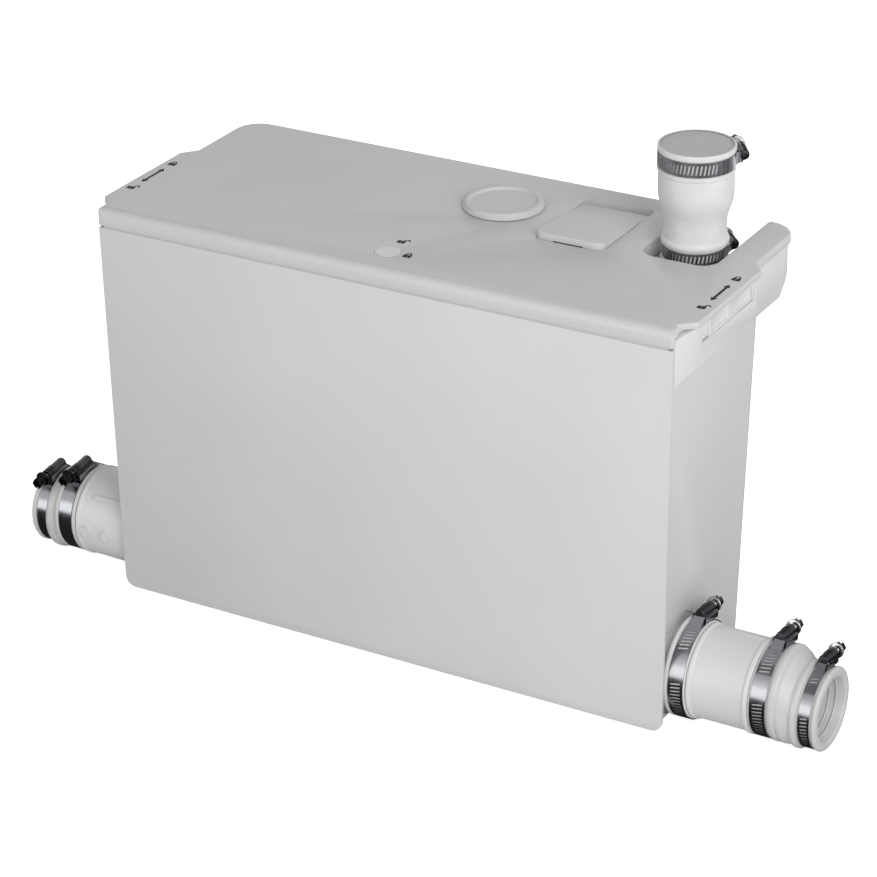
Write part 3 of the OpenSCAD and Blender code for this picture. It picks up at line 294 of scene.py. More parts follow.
# Adds a mesh to the work at a place, and turns its faces the right way out after a mirror.
# slots: the piece's material slot for each of the mesh's own
def joinInto(work, mesh, place=Matrix(), slots=(0,)):
    firstVert, firstFace = len(work.verts), len(work.faces)
    work.from_mesh(mesh)
    work.verts.ensure_lookup_table()
    work.faces.ensure_lookup_table()
    faces = work.faces[firstFace:]
    bmesh.ops.transform(work, matrix=place, verts=work.verts[firstVert:])
    for face in faces:
        face.material_index = slots[min(face.material_index, len(slots) - 1)]
    if place.determinant() < 0:
        bmesh.ops.reverse_faces(work, faces=faces)


def newPiece(name, work, materials):
    piece = addObject(name, takeMesh(name, work))
    for material in materials:
        piece.data.materials.append(material)
    return piece


def declare(piece, body, nodeName=None):
    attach(piece, body)
    if nodeName:
        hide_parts(nodeName)


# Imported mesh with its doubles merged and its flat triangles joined, ready for worked edges
def cleanCopy(nodeName):
    work = bmesh.new()
    work.from_mesh(nodes[nodeName].data)
    bmesh.ops.remove_doubles(work, verts=work.verts, dist=0.002 * mm)
    bmesh.ops.dissolve_limit(
        work, angle_limit=math.radians(0.6), verts=work.verts, edges=work.edges)
    return work


# extra: meshes that join the piece; zones: (material, test of a face's middle in mm)
def workedSolid(nodeName, extra=(), zones=()):
    kind = nodeName if nodeName in edgeRound else nodeName.split("_")[0]
    radius, angle = edgeRound.get(kind, edgeRound["other"])
    piece = newPiece(camel(nodeName), cleanCopy(nodeName), [finishes[slotOf[nodeName]]])
    addBevel(piece, radius, angle)
    finishMesh(piece, angle)
    for material, _ in zones:
        piece.data.materials.append(material)
    for index, (_, test) in enumerate(zones, 1):
        for face in piece.data.polygons:
            if test(face.center / mm, face.normal):
                face.material_index = index
    if extra:
        work = bmesh.new()
        work.from_mesh(piece.data)
        for mesh, place in extra:
            joinInto(work, mesh, place)
        work.to_mesh(piece.data)
        work.free()
        piece.data.set_sharp_from_angle(angle=math.radians(angle))
    declare(piece, bodyOf[nodeName], nodeName)


# Geometry Nodes: one tree for each thing that repeats
print("trees")


def startTree(name, sizes):
    tree = bpy.data.node_groups.new(name, "GeometryNodeTree")
    tree.interface.new_socket("Geometry", in_out="OUTPUT", socket_type="NodeSocketGeometry")
    for label, value in sizes.items():
        kind = "NodeSocketInt" if isinstance(value, int) else "NodeSocketFloat"
        tree.interface.new_socket(label, in_out="INPUT", socket_type=kind).default_value = value
    tree.interface.new_socket("Finish", in_out="INPUT", socket_type="NodeSocketMaterial")
    return tree, addNode(tree, "NodeGroupInput").outputs


def endTree(tree, given, shape):
    solid = addNode(tree, "GeometryNodeRealizeInstances", {}, {"Geometry": shape})
    dressed = addNode(tree, "GeometryNodeSetMaterial", {}, {
        "Geometry": solid.outputs["Geometry"], "Material": given["Finish"]})
    addNode(tree, "NodeGroupOutput", {}, {"Geometry": dressed.outputs["Geometry"]})
    return tree


def calc(tree, operation, *values):
    made = addNode(tree, "ShaderNodeMath", {"operation": operation}, dict(enumerate(values)))
    return made.outputs[0]


def combine(tree, x=0.0, y=0.0, z=0.0):
    return addNode(tree, "ShaderNodeCombineXYZ", {}, {"X": x, "Y": y, "Z": z}).outputs[0]


# Copies of a shape round the Z axis, from +Y, each leaning by tilt about its own radius
def roundRow(tree, shape, radius, first, step, count, tilt=0.0):
    index = addNode(tree, "GeometryNodeInputIndex").outputs[0]
    angle = calc(tree, "MULTIPLY_ADD", index, step, first)
    across = calc(tree, "MULTIPLY", calc(tree, "SINE", angle), calc(tree, "MULTIPLY", radius, -1.0))
    along = calc(tree, "MULTIPLY", calc(tree, "COSINE", angle), radius)
    spots = addNode(tree, "GeometryNodePoints", {}, {
        "Count": count, "Position": combine(tree, across, along)})
    facing = addNode(tree, "FunctionNodeEulerToRotation", {}, {
        "Euler": combine(tree, 0.0, tilt, angle)})
    row = addNode(tree, "GeometryNodeInstanceOnPoints", {}, {
        "Points": spots.outputs[0], "Instance": shape, "Rotation": facing.outputs[0]})
    solid = addNode(tree, "GeometryNodeRealizeInstances", {}, {"Geometry": row.outputs[0]})
    return solid.outputs[0]


bandSides = 160  # of the circles along a clamp's band


# Ring of strip with two rows of slanted slots punched through it
def bandTree():
    tree, given = startTree("slottedBand", {
        "Radius": 36 * mm, "Thickness": 0.9 * mm, "Width": 12.5 * mm, "Slot Length": 8.5 * mm,
        "Slot Width": 1.3 * mm, "Slot Tilt": 0.17, "Slot Step": 0.08,
        "First Slot": 0.45, "Slots": 6, "Second Slot": 1.57, "Second Slots": 11})
    outerRadius = calc(tree, "ADD", given["Radius"], given["Thickness"])
    outer = addNode(tree, "GeometryNodeMeshCylinder", {}, {
        "Vertices": bandSides, "Radius": outerRadius, "Depth": given["Width"]})
    inner = addNode(tree, "GeometryNodeMeshCylinder", {}, {
        "Vertices": bandSides, "Radius": given["Radius"],
        "Depth": calc(tree, "ADD", given["Width"], 4 * mm)})
    punch = addNode(tree, "GeometryNodeMeshCube", {}, {
        "Size": combine(tree, given["Slot Width"], 6 * mm, given["Slot Length"])})
    rows = [roundRow(tree, punch.outputs["Mesh"], outerRadius, given[first], given["Slot Step"],
                     given[count], given["Slot Tilt"])
            for first, count in (("First Slot", "Slots"), ("Second Slot", "Second Slots"))]
    cut = addNode(tree, "GeometryNodeMeshBoolean", {"operation": "DIFFERENCE"}, {
        "Mesh 1": outer.outputs["Mesh"], "Mesh 2": [inner.outputs["Mesh"]] + rows})
    return endTree(tree, given, cut.outputs["Mesh"])


# Upright plates round a motor
def finTree():
    tree, given = startTree("coolingFins", {
        "Radius": 50 * mm, "Height": 130 * mm, "Fin Depth": 4 * mm, "Fin Thickness": 1.6 * mm,
        "Fins": 36})
    plate = addNode(tree, "GeometryNodeMeshCube", {}, {
        "Size": combine(tree, given["Fin Thickness"], given["Fin Depth"], given["Height"])})
    step = calc(tree, "DIVIDE", 2 * math.pi, given["Fins"])
    middle = calc(tree, "ADD", given["Radius"], calc(tree, "MULTIPLY", given["Fin Depth"], 0.3))
    return endTree(tree, given, roundRow(
        tree, plate.outputs["Mesh"], middle, 0.0, step, given["Fins"]))


# One wire wound round and round a ring, for the ends of the stator's coils
def coilTree():
    tree, given = startTree("woundRing", {
        "Ring Radius": 38 * mm, "Bundle Radius": 5 * mm, "Wire Radius": 1 * mm, "Turns": 64})
    stepsPerTurn = 14
    steps = calc(tree, "MULTIPLY", given["Turns"], float(stepsPerTurn))
    path = addNode(tree, "GeometryNodeCurvePrimitiveCircle", {"mode": "RADIUS"}, {
        "Resolution": steps, "Radius": given["Ring Radius"]})
    index = addNode(tree, "GeometryNodeInputIndex").outputs[0]
    round1 = calc(tree, "DIVIDE", calc(tree, "MULTIPLY", index, 2 * math.pi), steps)
    round2 = calc(tree, "MULTIPLY", index, 2 * math.pi / stepsPerTurn)
    reach = calc(tree, "MULTIPLY_ADD", calc(tree, "COSINE", round2), given["Bundle Radius"],
                 given["Ring Radius"])
    spot = combine(tree, calc(tree, "MULTIPLY", reach, calc(tree, "COSINE", round1)),
                   calc(tree, "MULTIPLY", reach, calc(tree, "SINE", round1)),
                   calc(tree, "MULTIPLY", calc(tree, "SINE", round2), given["Bundle Radius"]))
    wound = addNode(tree, "GeometryNodeSetPosition", {}, {
        "Geometry": path.outputs["Curve"], "Position": spot})
    wire = addNode(tree, "GeometryNodeCurvePrimitiveCircle", {"mode": "RADIUS"}, {
        "Resolution": 6, "Radius": given["Wire Radius"]})
    tube = addNode(tree, "GeometryNodeCurveToMesh", {}, {
        "Curve": wound.outputs["Geometry"], "Profile Curve": wire.outputs["Curve"]})
    return endTree(tree, given, tube.outputs["Mesh"])


# Thin sealing lips inside a rubber bore, one behind the other along X
def lipTree():
    tree, given = startTree("sealLips", {
        "Bore": 25 * mm, "Lip": 0.7 * mm, "Spacing": 5 * mm, "Lips": 4})
    hoop = addNode(tree, "GeometryNodeCurvePrimitiveCircle", {"mode": "RADIUS"}, {
        "Resolution": 96, "Radius": given["Bore"]})
    bead = addNode(tree, "GeometryNodeCurvePrimitiveCircle", {"mode": "RADIUS"}, {
        "Resolution": 8, "Radius": given["Lip"]})
    ring = addNode(tree, "GeometryNodeCurveToMesh", {}, {
        "Curve": hoop.outputs["Curve"], "Profile Curve": bead.outputs["Curve"]})
    index = addNode(tree, "GeometryNodeInputIndex").outputs[0]
    spots = addNode(tree, "GeometryNodePoints", {}, {
        "Count": given["Lips"],
        "Position": combine(tree, calc(tree, "MULTIPLY", index, given["Spacing"]))})
    row = addNode(tree, "GeometryNodeInstanceOnPoints", {}, {
        "Points": spots.outputs[0], "Instance": ring.outputs["Mesh"],
        "Rotation": (0.0, math.pi / 2, 0.0)})
    return endTree(tree, given, row.outputs[0])


# Broken grains scattered over a tray
def grainTree():
    tree, given = startTree("charcoalGrains", {
        "Width": 36 * mm, "Length": 50 * mm, "Grain": 1.3 * mm, "Grains per Metre": 260000.0,
        "Seed": 7})
    tray = addNode(tree, "GeometryNodeMeshGrid", {}, {
        "Size X": given["Width"], "Size Y": given["Length"], "Vertices X": 2, "Vertices Y": 2})
    spots = addNode(tree, "GeometryNodeDistributePointsOnFaces", {}, {
        "Mesh": tray.outputs["Mesh"], "Density": given["Grains per Metre"], "Seed": given["Seed"]})
    grain = addNode(tree, "GeometryNodeMeshIcoSphere", {}, {
        "Radius": given["Grain"], "Subdivisions": 1})
    turns = addNode(tree, "FunctionNodeRandomValue", {"data_type": "FLOAT_VECTOR"}, {
        0: (0.0, 0.0, 0.0), 1: (6.3, 6.3, 6.3), "Seed": given["Seed"]})
    sizes = addNode(tree, "FunctionNodeRandomValue", {"data_type": "FLOAT_VECTOR"}, {
        0: (0.5, 0.7, 0.4), 1: (1.1, 1.2, 0.8), "Seed": given["Seed"]})
    scattered = addNode(tree, "GeometryNodeInstanceOnPoints", {}, {
        "Points": spots.outputs["Points"], "Instance": grain.outputs["Mesh"],
        "Rotation": turns.outputs[0], "Scale": sizes.outputs[0]})
    return endTree(tree, given, scattered.outputs[0])


# Runs a tree with its sizes and gives the plain mesh
def growMesh(tree, finish, sizes):
    seed = addObject(tree.name, bpy.data.meshes.new(tree.name))
    modifier = seed.modifiers.new(tree.name, "NODES")
    modifier.node_group = tree
    for item in tree.interface.items_tree:
        if item.in_out == "INPUT":
            modifier[item.identifier] = finish if item.name == "Finish" else sizes[item.name]
    graph = bpy.context.evaluated_depsgraph_get()
    made = bpy.data.meshes.new_from_object(seed.evaluated_get(graph))
    seed.modifiers.clear()
    bpy.data.objects.remove(seed)
    return made


# Worm-drive hose clamps
print("clamps")
clampSizes = {  # mm
    "thickness": 0.9,
    "seatGap": 0.05,
    "wormRadius": 3.3,
    "boreGap": 0.15,     # round the worm
    "wormUp": 5.9,       # worm's axis above the band
    "wormEnd": 14.0,     # its front end, from the band's middle
    "wall": 1.0,         # housing over the worm
    "backWall": 2.0,     # housing behind the bore
    "footOver": 0.3,     # housing's foot past the edge of the band
    "footSunk": 0.5,     # its root in the band
    "shoulder": (4.4, 1.0),  # height at which the foot turns into the arch, and of the turn
    "bareSide": 5.0,     # height of the flat sides that stay bare
    "collar": (7.8, 1.0),    # wider front part of the housing: from and to, off the worm's end
    "brightNeck": (2.2, 0.3),  # part of the screw painted bright as a glint: before the worm's end, past the neck
    "slotPitch": 3.1,
    "slotWidth": 1.3,
    "slotLength": 0.68,  # share of the band's width
    "slotTilt": 10.0,    # degrees
    "edge": 0.3,         # rounding of the housing
}
# Free end of the strip: distance from the housing, underside and top above the band
tongueSteps = [(-8.0, -0.9, 0.0), (-6.0, -0.6, 0.35), (-4.0, 0.2, 1.3), (-2.0, 1.2, 2.7),
               (0.8, 2.2, 4.6)]
tongueShare = 0.36  # half width, as a share of the band's width
tongueSunk = 0.4    # mm by which its underside lies in the ring
# Outlines of the housing: where they are measured from, distance from there along the worm, and
# how much wider the foot and the arch are there
housingSteps = [("back", 0, -0.8, -0.9), ("back", 1.6, 0, 0), ("collar", -0.8, 0, 0),
                ("collar", 0, 0.3, 0.5), ("front", 0, 0.3, 0.5), ("front", 0.5, 0, 0.1)]
boreLength, cutterOver = 80, 20  # of the cutting tools, well past the solid
portAxis = (-66.5, 39.8)   # Y and Z of the side connectors
riserAxis = (194.6, 41.0)  # X and Y of the discharge


def turn(degrees, axis):
    return Matrix.Rotation(math.radians(degrees), 4, axis)


mirrorX = Matrix.Scale(-1, 4, (1, 0, 0))


# Places of the clamps. In a clamp's own frame X runs along its screw, Y out through the housing
# and Z along the pipe.
def onPort(x, drop, tilt=8):
    spot = Vector((x, portAxis[0], portAxis[1] - drop)) * mm
    return Matrix.Translation(spot) @ turn(-tilt, "X") @ turn(90, "Z") @ turn(90, "X")


def onLeft(x, drop):
    return onPort(x, drop, -8) @ mirrorX


def onRiser(z, degrees):
    spot = Vector((riserAxis[0], riserAxis[1], z)) * mm
    return Matrix.Translation(spot) @ turn(-degrees, "Z") @ mirrorX


# name: (place, radius, width, housing length, slot rows, screw neck), lengths in mm. A slot row
# is its first angle from the housing in degrees and its number of slots.
clamps = {
    "left_wide": (onLeft(-310.9, 0), 36.0, 12.5, 22.0, [(26, 6), (90, 11)], 6.0),
    "left_narrow": (onLeft(-338.7, 4.4), 31.2, 9.0, 22.0, [(26, 6), (90, 11)], 6.0),
    "right_inner": (onPort(255.0, 0), 38.4, 12.5, 18.0, [(26, 6), (90, 11)], 6.0),
    "right_middle": (onPort(321.6, 0), 36.4, 12.5, 18.0, [(26, 6), (90, 11)], 6.0),
    "right_outer": (onPort(357.0, 5.2), 31.4, 9.0, 18.0, [(30, 2), (88, 12)], 6.0),
    "riser_top": (onRiser(408.2, 52), 28.7, 11.5, 18.0, [(72, 17), (0, 0)], 6.0),
    "riser_bottom": (onRiser(334.5, 44), 23.8, 9.0, 18.0, [(60, 16), (0, 0)], 1.9),
}


# Skin over a row of outlines with the same number of points, with both ends closed
def loft(outlines):
    work = bmesh.new()
    rings = [[work.verts.new(Vector(p) * mm) for p in outline] for outline in outlines]
    skin(work, rings)
    work.faces.new(rings[0])
    work.faces.new(list(reversed(rings[-1])))
    bmesh.ops.recalc_face_normals(work, faces=work.faces)
    return work


# Outline of the housing across its length: feet beside the band, arch over the worm
def archOutline(x, y, foot, half, rise, steps=12):
    turnStart, turnRise = clampSizes["shoulder"]
    low, shoulder, centre = y - clampSizes["footSunk"], y + turnStart, y + rise
    side = [(x, low, -foot), (x, shoulder, -foot), (x, shoulder + turnRise, -half)]
    arch = [(x, centre + half * math.sin(a), -half * math.cos(a))
            for a in (math.pi * i / steps for i in range(steps + 1))]
    return side + arch + [(p[0], p[1], -p[2]) for p in reversed(side)]


def cutAway(piece, cutters):
    for number, cutter in enumerate(cutters):
        tool = addObject("cutter%d" % number, cutter)
        cut = piece.modifiers.new("cut", "BOOLEAN")
        cut.operation, cut.solver, cut.object = "DIFFERENCE", "EXACT", tool
        graph = bpy.context.evaluated_depsgraph_get()
        piece.data = bpy.data.meshes.new_from_object(piece.evaluated_get(graph))
        piece.modifiers.clear()
        bpy.data.objects.remove(tool)


def rodMesh(radius, depth, place, segments):
    work = bmesh.new()
    bmesh.ops.create_cone(work, cap_ends=True, segments=segments, radius1=radius * mm,
                          radius2=radius * mm, depth=depth * mm, matrix=place)
    return takeMesh("rod", work)


def makeHousing(radius, width, length):
    v = clampSizes
    y = radius + v["seatGap"] + v["thickness"]
    half, foot, rise = v["wormRadius"] + v["wall"], width / 2 + v["footOver"], v["wormUp"]
    end = v["wormEnd"]
    starts = {"back": end - length, "collar": end - v["collar"][0], "front": end + v["collar"][1]}
    work = loft([archOutline(starts[start] + along, y, foot + wider, half + fuller, rise)
                 for start, along, wider, fuller in housingSteps])
    piece = newPiece("housing", work, [extraFinishes["housing"]])
    addBevel(piece, v["edge"], angle=40)
    boreStart = starts["back"] + v["backWall"]
    bore = Matrix.Translation(Vector((boreStart + boreLength / 2, y + rise, 0)) * mm)
    cutAway(piece, [
        rodMesh(v["wormRadius"] + v["boreGap"], boreLength, bore @ turn(90, "Y"), segments=40),
        rodMesh(radius + v["seatGap"], width + cutterOver, Matrix(), bandSides)])
    made = piece.data
    made.materials.append(finishes["band_steel"])
    for face in made.polygons:  # the flat sides are bare strip; the arch over the worm gets the darkened steel, a painted dark reflection
        if face.center.y / mm < y + v["bareSide"] and abs(face.normal.z) > 0.7:
            face.material_index = 1
    bpy.data.objects.remove(piece)
    return made


# Free end of the strip, which climbs from the ring into the near end of the housing
def makeTongue(radius, width, length):
    v = clampSizes
    y = radius + v["seatGap"] + v["thickness"]
    x0, h = v["wormEnd"] - length, width * tongueShare
    first, last = tongueSteps[0][0], tongueSteps[-1][0]
    outlines = []
    for x, low, high in tongueSteps:
        sag = (x0 + x) ** 2 / (2 * radius)  # the ring falls away from its crown
        a, b = y + low - sag - tongueSunk, y + high - sag * (last - x) / (last - first)
        outlines.append([(x0 + x, a, -h), (x0 + x, b, -h), (x0 + x, b, h), (x0 + x, a, h)])
    return takeMesh("tongue", loft(outlines))


def makeClamp(name, slotted, spec):
    v = clampSizes
    place, radius, width, length, rows, neck = spec
    outer = radius + v["seatGap"] + v["thickness"]
    ring = growMesh(slotted, finishes["band_steel"], {
        "Radius": (radius + v["seatGap"]) * mm, "Thickness": v["thickness"] * mm,
        "Width": width * mm, "Slot Length": width * v["slotLength"] * mm,
        "Slot Width": v["slotWidth"] * mm,
        "Slot Tilt": math.radians(v["slotTilt"]), "Slot Step": v["slotPitch"] / outer,
        "First Slot": math.radians(rows[0][0]), "Slots": rows[0][1],
        "Second Slot": math.radians(rows[1][0]), "Second Slots": rows[1][1]})
    work = bmesh.new()
    joinInto(work, ring, place)
    joinInto(work, makeTongue(radius, width, length), place)
    joinInto(work, makeHousing(radius, width, length), place, (1, 0))
    steels = [finishes["band_steel"], extraFinishes["housing"]]
    piece = newPiece(camel("clamp_" + name), work, steels)
    finishMesh(piece, angle=35)
    declare(piece, bodyOf["clamp_" + name], "clamp_" + name)

    # Screw: hexagon head, flange and worm in steel darkened as a painted reflection; the neck in
    # bright steel as a painted glint
    inverse = place.inverted()
    before, past = v["brightNeck"]
    low, high = v["wormEnd"] - before, v["wormEnd"] + neck + past

    def onGlintNeck(middle, normal):
        return low < (inverse @ (middle * mm)).x / mm < high

    # Painted highlight: the neck gets the bright turned steel, standing in for a glint
    workedSolid("screw_" + name, zones=[(finishes["pin_steel"], onGlintNeck)])


slottedBand = bandTree()
for clampName, clampSpec in clamps.items():
    makeClamp(clampName, slottedBand, clampSpec)

# Everything else
print("dressed solids")


def at(x, y, z):
    return Matrix.Translation(Vector((x, y, z)) * mm)


motorSizes = {  # mm
    "x": -70, "y": -22, "radius": 50, "low": 66, "high": 196, "coils": (91, 159)}
coolingFins = growMesh(finTree(), finishes["motor_alloy"], {
    "Radius": motorSizes["radius"] * mm, "Height": (motorSizes["high"] - motorSizes["low"]) * mm,
    "Fin Depth": 4 * mm, "Fin Thickness": 1.6 * mm, "Fins": 40})
woundRing = growMesh(coilTree(), finishes["winding"], {
    "Ring Radius": 37.5 * mm, "Bundle Radius": 5.5 * mm, "Wire Radius": 1.1 * mm, "Turns": 60})
grains = growMesh(grainTree(), finishes["charcoal"], {
    "Width": 34 * mm, "Length": 48 * mm, "Grain": 1.3 * mm, "Grains per Metre": 260000.0,
    "Seed": 7})
sealLips = lipTree()
lipSizes = {"Bore": 25.2 * mm, "Lip": 0.8 * mm, "Spacing": 5.6 * mm}

# Rubber reducers in mm. Their profile runs along the outside and back along the inside, as
# distance from the grip end, radius and share of the drop.
reducers = {
    "right_reducer": {
        "start": 313.4, "way": 1, "drop": 5.2, "firstLip": 331.0, "lips": 6,
        "profile": [
            (0, 36.8, 0), (0.4, 37.2, 0), (1.4, 37.2, 0), (1.8, 36.4, 0), (15.2, 36.4, 0),
            (15.8, 37.2, 0), (16.9, 37.8, 0), (19.4, 37.9, 0.02), (21.0, 37.3, 0.08),
            (21.8, 36.4, 0.14), (22.4, 36.6, 0.2), (24.2, 36.4, 0.35), (26.4, 35.3, 0.55),
            (28.8, 34.0, 0.75), (30.8, 33.3, 0.9), (31.7, 33.4, 0.95), (32.5, 34.1, 1),
            (34.0, 34.6, 1), (36.0, 34.5, 1), (37.1, 33.6, 1), (37.5, 31.6, 1), (38.0, 31.4, 1),
            (49.4, 31.4, 1), (49.8, 32.2, 1), (50.4, 32.9, 1), (51.6, 33.0, 1), (52.6, 32.4, 1),
            (53.3, 31.3, 1), (53.5, 30.0, 1), (53.5, 27.0, 1), (53.1, 25.8, 1), (52.2, 25.1, 1),
            (14.8, 24.8, 1), (14.8, 30.1, 0), (0, 30.1, 0)],
    },
    "left_reducer": {
        "start": -300.6, "way": -1, "drop": 4.4, "firstLip": -345.0, "lips": 5,
        "profile": [
            (0, 36.7, 0), (0.5, 37.1, 0), (3.0, 37.1, 0), (3.6, 36.0, 0), (16.9, 36.0, 0),
            (17.4, 36.6, 0), (18.5, 37.0, 0), (20.1, 37.0, 0.03), (21.4, 36.2, 0.15),
            (22.3, 35.2, 0.3), (23.6, 34.9, 0.45), (25.0, 35.1, 0.62), (27.0, 35.5, 0.78),
            (29.5, 35.5, 0.86), (31.6, 34.9, 0.95), (32.4, 33.4, 1), (32.7, 31.4, 1),
            (33.1, 31.2, 1), (43.8, 31.2, 1), (44.2, 32.1, 1), (45.0, 32.9, 1), (46.5, 33.0, 1),
            (47.6, 32.3, 1), (48.3, 31.1, 1), (48.4, 30.0, 1), (48.4, 27.0, 1), (48.0, 25.8, 1),
            (47.1, 25.1, 1), (15.6, 24.9, 1), (15.6, 30.1, 0), (0, 30.1, 0)],
    },
}


def makeReducer(nodeName, v, segments=128):
    work = bmesh.new()
    rings = []
    for along, radius, share in v["profile"]:
        x, z = v["start"] + v["way"] * along, portAxis[1] - v["drop"] * share
        rings.append([work.verts.new(Vector((x, portAxis[0] + radius * math.cos(a),
                                             z + radius * math.sin(a))) * mm)
                      for a in (2 * math.pi * i / segments for i in range(segments))])
    skin(work, rings + rings[:1])
    bmesh.ops.recalc_face_normals(work, faces=work.faces)
    rubber = extraFinishes["reducer"]
    lips = growMesh(sealLips, rubber, {**lipSizes, "Lips": v["lips"]})
    joinInto(work, lips, at(v["firstLip"], portAxis[0], portAxis[1] - v["drop"]))
    piece = newPiece(camel(nodeName), work, [rubber])
    finishMesh(piece, angle=50)
    declare(piece, bodyOf[nodeName], nodeName)


# Bar with rounded edges, its middle at the origin
def barMesh(size, radius=0.3):
    work = bmesh.new()
    bmesh.ops.create_cube(work, size=1.0, matrix=Matrix.Diagonal(Vector(size) * mm).to_4x4())
    bmesh.ops.bevel(work, geom=work.edges[:], offset=radius * mm, segments=2, affect="EDGES")
    return takeMesh("bar", work)


# Round boss with a raised rim and a sunk middle, along Z from the origin
def bossMesh(v, segments=48):
    work = bmesh.new()
    radius, height, edge = v["radius"], v["height"], v["edge"]
    hollow, dish = radius - v["rim"], height - v["sunk"]
    profile = [(radius, -v["root"]), (radius, height - edge), (radius - edge, height),
               (hollow, height), (hollow - edge, dish), (v["centre"], dish)]
    rings = [[work.verts.new(Vector((r * math.cos(a), r * math.sin(a), z)) * mm)
              for a in (2 * math.pi * i / segments for i in range(segments))] for r, z in profile]
    skin(work, rings)
    work.faces.new(rings[0])
    work.faces.new(rings[-1])
    bmesh.ops.recalc_face_normals(work, faces=work.faces)
    return takeMesh("boss", work)


# Riser sleeve: height above which its faces count, radius of the disc and of the groove, in mm
riserTop = {"above": 417.4, "disc": 26.4, "groove": 27.5}


def riserReach(middle):
    return math.hypot(middle.x - riserAxis[0], middle.y - riserAxis[1])


def onMembrane(middle, normal):  # flat disc inside the riser sleeve's rim, coloured darker grey as painted shade
    return middle.z > riserTop["above"] and riserReach(middle) < riserTop["disc"] and normal.z > 0.9


def inGroove(middle, normal):  # the step down from the rim to the disc, coloured darker as painted shade
    inside = middle.z > riserTop["above"] and riserReach(middle) < riserTop["groove"]
    return inside and 0.2 < normal.z < 0.9


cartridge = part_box("filter_cartridge")
cartridgeMiddle = (Vector(cartridge[0]) + Vector(cartridge[1])) / 2 / mm
cartridgeTop = cartridge[1][2] / mm - 1.0  # the grains lie just below its rim

# Bosses and rib round the left stub, in mm, with their turn in degrees from the top
stubForms = {
    "boss": {"radius": 4.6, "height": 1.0, "edge": 0.3, "rim": 1.0, "sunk": 0.5, "centre": 0.4,
             "root": 3},
    "bossesX": (-289.5, -269.5), "bossTurn": 92, "bossFoot": 37.9,
    "rib": (38, 3.6, 3.0), "ribX": -266, "ribTurn": 46, "ribMiddle": 38.2,
}


# Ledge of the front behind the seam under the lid
seamLedge = {"size": (492, 2.2, 2.4), "middle": (0, -107.9, 322.0)}  # mm


def onStub(x, degrees, reach):
    return at(x, portAxis[0], portAxis[1]) @ turn(degrees, "X") @ at(0, 0, reach)


def stubExtras(v):
    boss = bossMesh(v["boss"])
    return ([(boss, onStub(x, v["bossTurn"], v["bossFoot"])) for x in v["bossesX"]]
            + [(barMesh(v["rib"], 0.5), onStub(v["ribX"], v["ribTurn"], v["ribMiddle"]))])


extras = {
    "motor_housing": [(coolingFins, at(motorSizes["x"], motorSizes["y"],
                                       (motorSizes["low"] + motorSizes["high"]) / 2))],
    "motor_stator": [(woundRing, at(motorSizes["x"], motorSizes["y"], z))
                     for z in motorSizes["coils"]],
    "filter_cartridge": [(grains, at(cartridgeMiddle.x, cartridgeMiddle.y, cartridgeTop))],
    "front_cover": [(barMesh(seamLedge["size"]), at(*seamLedge["middle"]))],
    "left_stub": stubExtras(stubForms),
}
zonesOf = {
    "riser_sleeve": [(extraFinishes["membrane"], onMembrane),
                     (extraFinishes["shadowGroove"], inGroove)],
}
for nodeName in sorted(nodes):
    if nodeName in reducers:
        makeReducer(nodeName, reducers[nodeName])
    elif not nodeName.startswith(("clamp_", "screw_")):
        workedSolid(nodeName, extras.get(nodeName, ()), zonesOf.get(nodeName, ()))

# Printed marks on the lid: padlocks and double arrows
print("marks")
markSizes = {  # mm
    "top": 337.5,
    "rise": 0.12,
    "sunk": 0.1,
    "railX": 250.5,
    "padlockScale": 1.2,
    "arrow": (32.0, 2.1, 5.5, 5.6),  # length, shaft, head length, head width
    "openRail": (-0.8, -65.0),       # off the rail's middle, and Y
    "arrowRail": (0.0, -32.5),
    "closedRail": (0.0, -7.9),
    "openLock": (-4.4, -61.0),       # X and Y beside the quarter-turn lock
    "closedLock": (13.5, -83.0),
}


def arcPoints(x, y, radius, start, end, steps=12):
    return [(x + radius * math.cos(math.radians(start + (end - start) * i / steps)),
             y + radius * math.sin(math.radians(start + (end - start) * i / steps)))
            for i in range(steps + 1)]


def padlock(isOpen):
    body = (arcPoints(-2.25, 0.5, 0.5, 180, 270, 4) + arcPoints(2.25, 0.5, 0.5, 270, 360, 4)
            + arcPoints(2.25, 3.4, 0.5, 0, 90, 4) + arcPoints(-2.25, 3.4, 0.5, 90, 180, 4))
    keyhole = [(-0.22, 1.2), (0.22, 1.2)] + arcPoints(0, 2.2, 0.42, -60, 240, 12)
    middle, rightEnd = (3.0, 4.6) if isOpen else (0.0, 3.8)
    outside, inside = 2.0, 1.0
    shackle = ([(middle - outside, 3.8)] + arcPoints(middle, 4.9, outside, 180, 0)
               + [(middle + outside, rightEnd), (middle + inside, rightEnd)]
               + arcPoints(middle, 4.9, inside, 0, 180) + [(middle - inside, 3.8)])
    return [[body, keyhole], [shackle]]


def doubleArrow(length, shaft, headLength, headWidth):
    half, s, w = length / 2, shaft / 2, headWidth / 2
    neck = half - headLength
    return [[[(0, half), (-w, neck), (-s, neck), (-s, -neck), (-w, -neck), (0, -half),
              (w, -neck), (s, -neck), (s, neck), (w, neck)]]]


# Plate for one group of outlines; an outline inside another is a hole
def flatPlate(outlines, thickness):
    curve = bpy.data.curves.new("mark", "CURVE")
    curve.dimensions, curve.fill_mode, curve.extrude = "2D", "BOTH", thickness / 2 * mm
    for points in outlines:
        spline = curve.splines.new("POLY")
        spline.points.add(len(points) - 1)
        for point, (x, y) in zip(spline.points, points):
            point.co = (x * mm, y * mm, 0, 1)
        spline.use_cyclic_u = True
    holder = addObject("mark", curve)
    graph = bpy.context.evaluated_depsgraph_get()
    mesh = bpy.data.meshes.new_from_object(holder.evaluated_get(graph))
    bpy.data.objects.remove(holder)
    return mesh


def flatShape(groups, thickness):
    work = bmesh.new()
    for outlines in groups:
        joinInto(work, flatPlate(outlines, thickness))
    return takeMesh("mark", work)


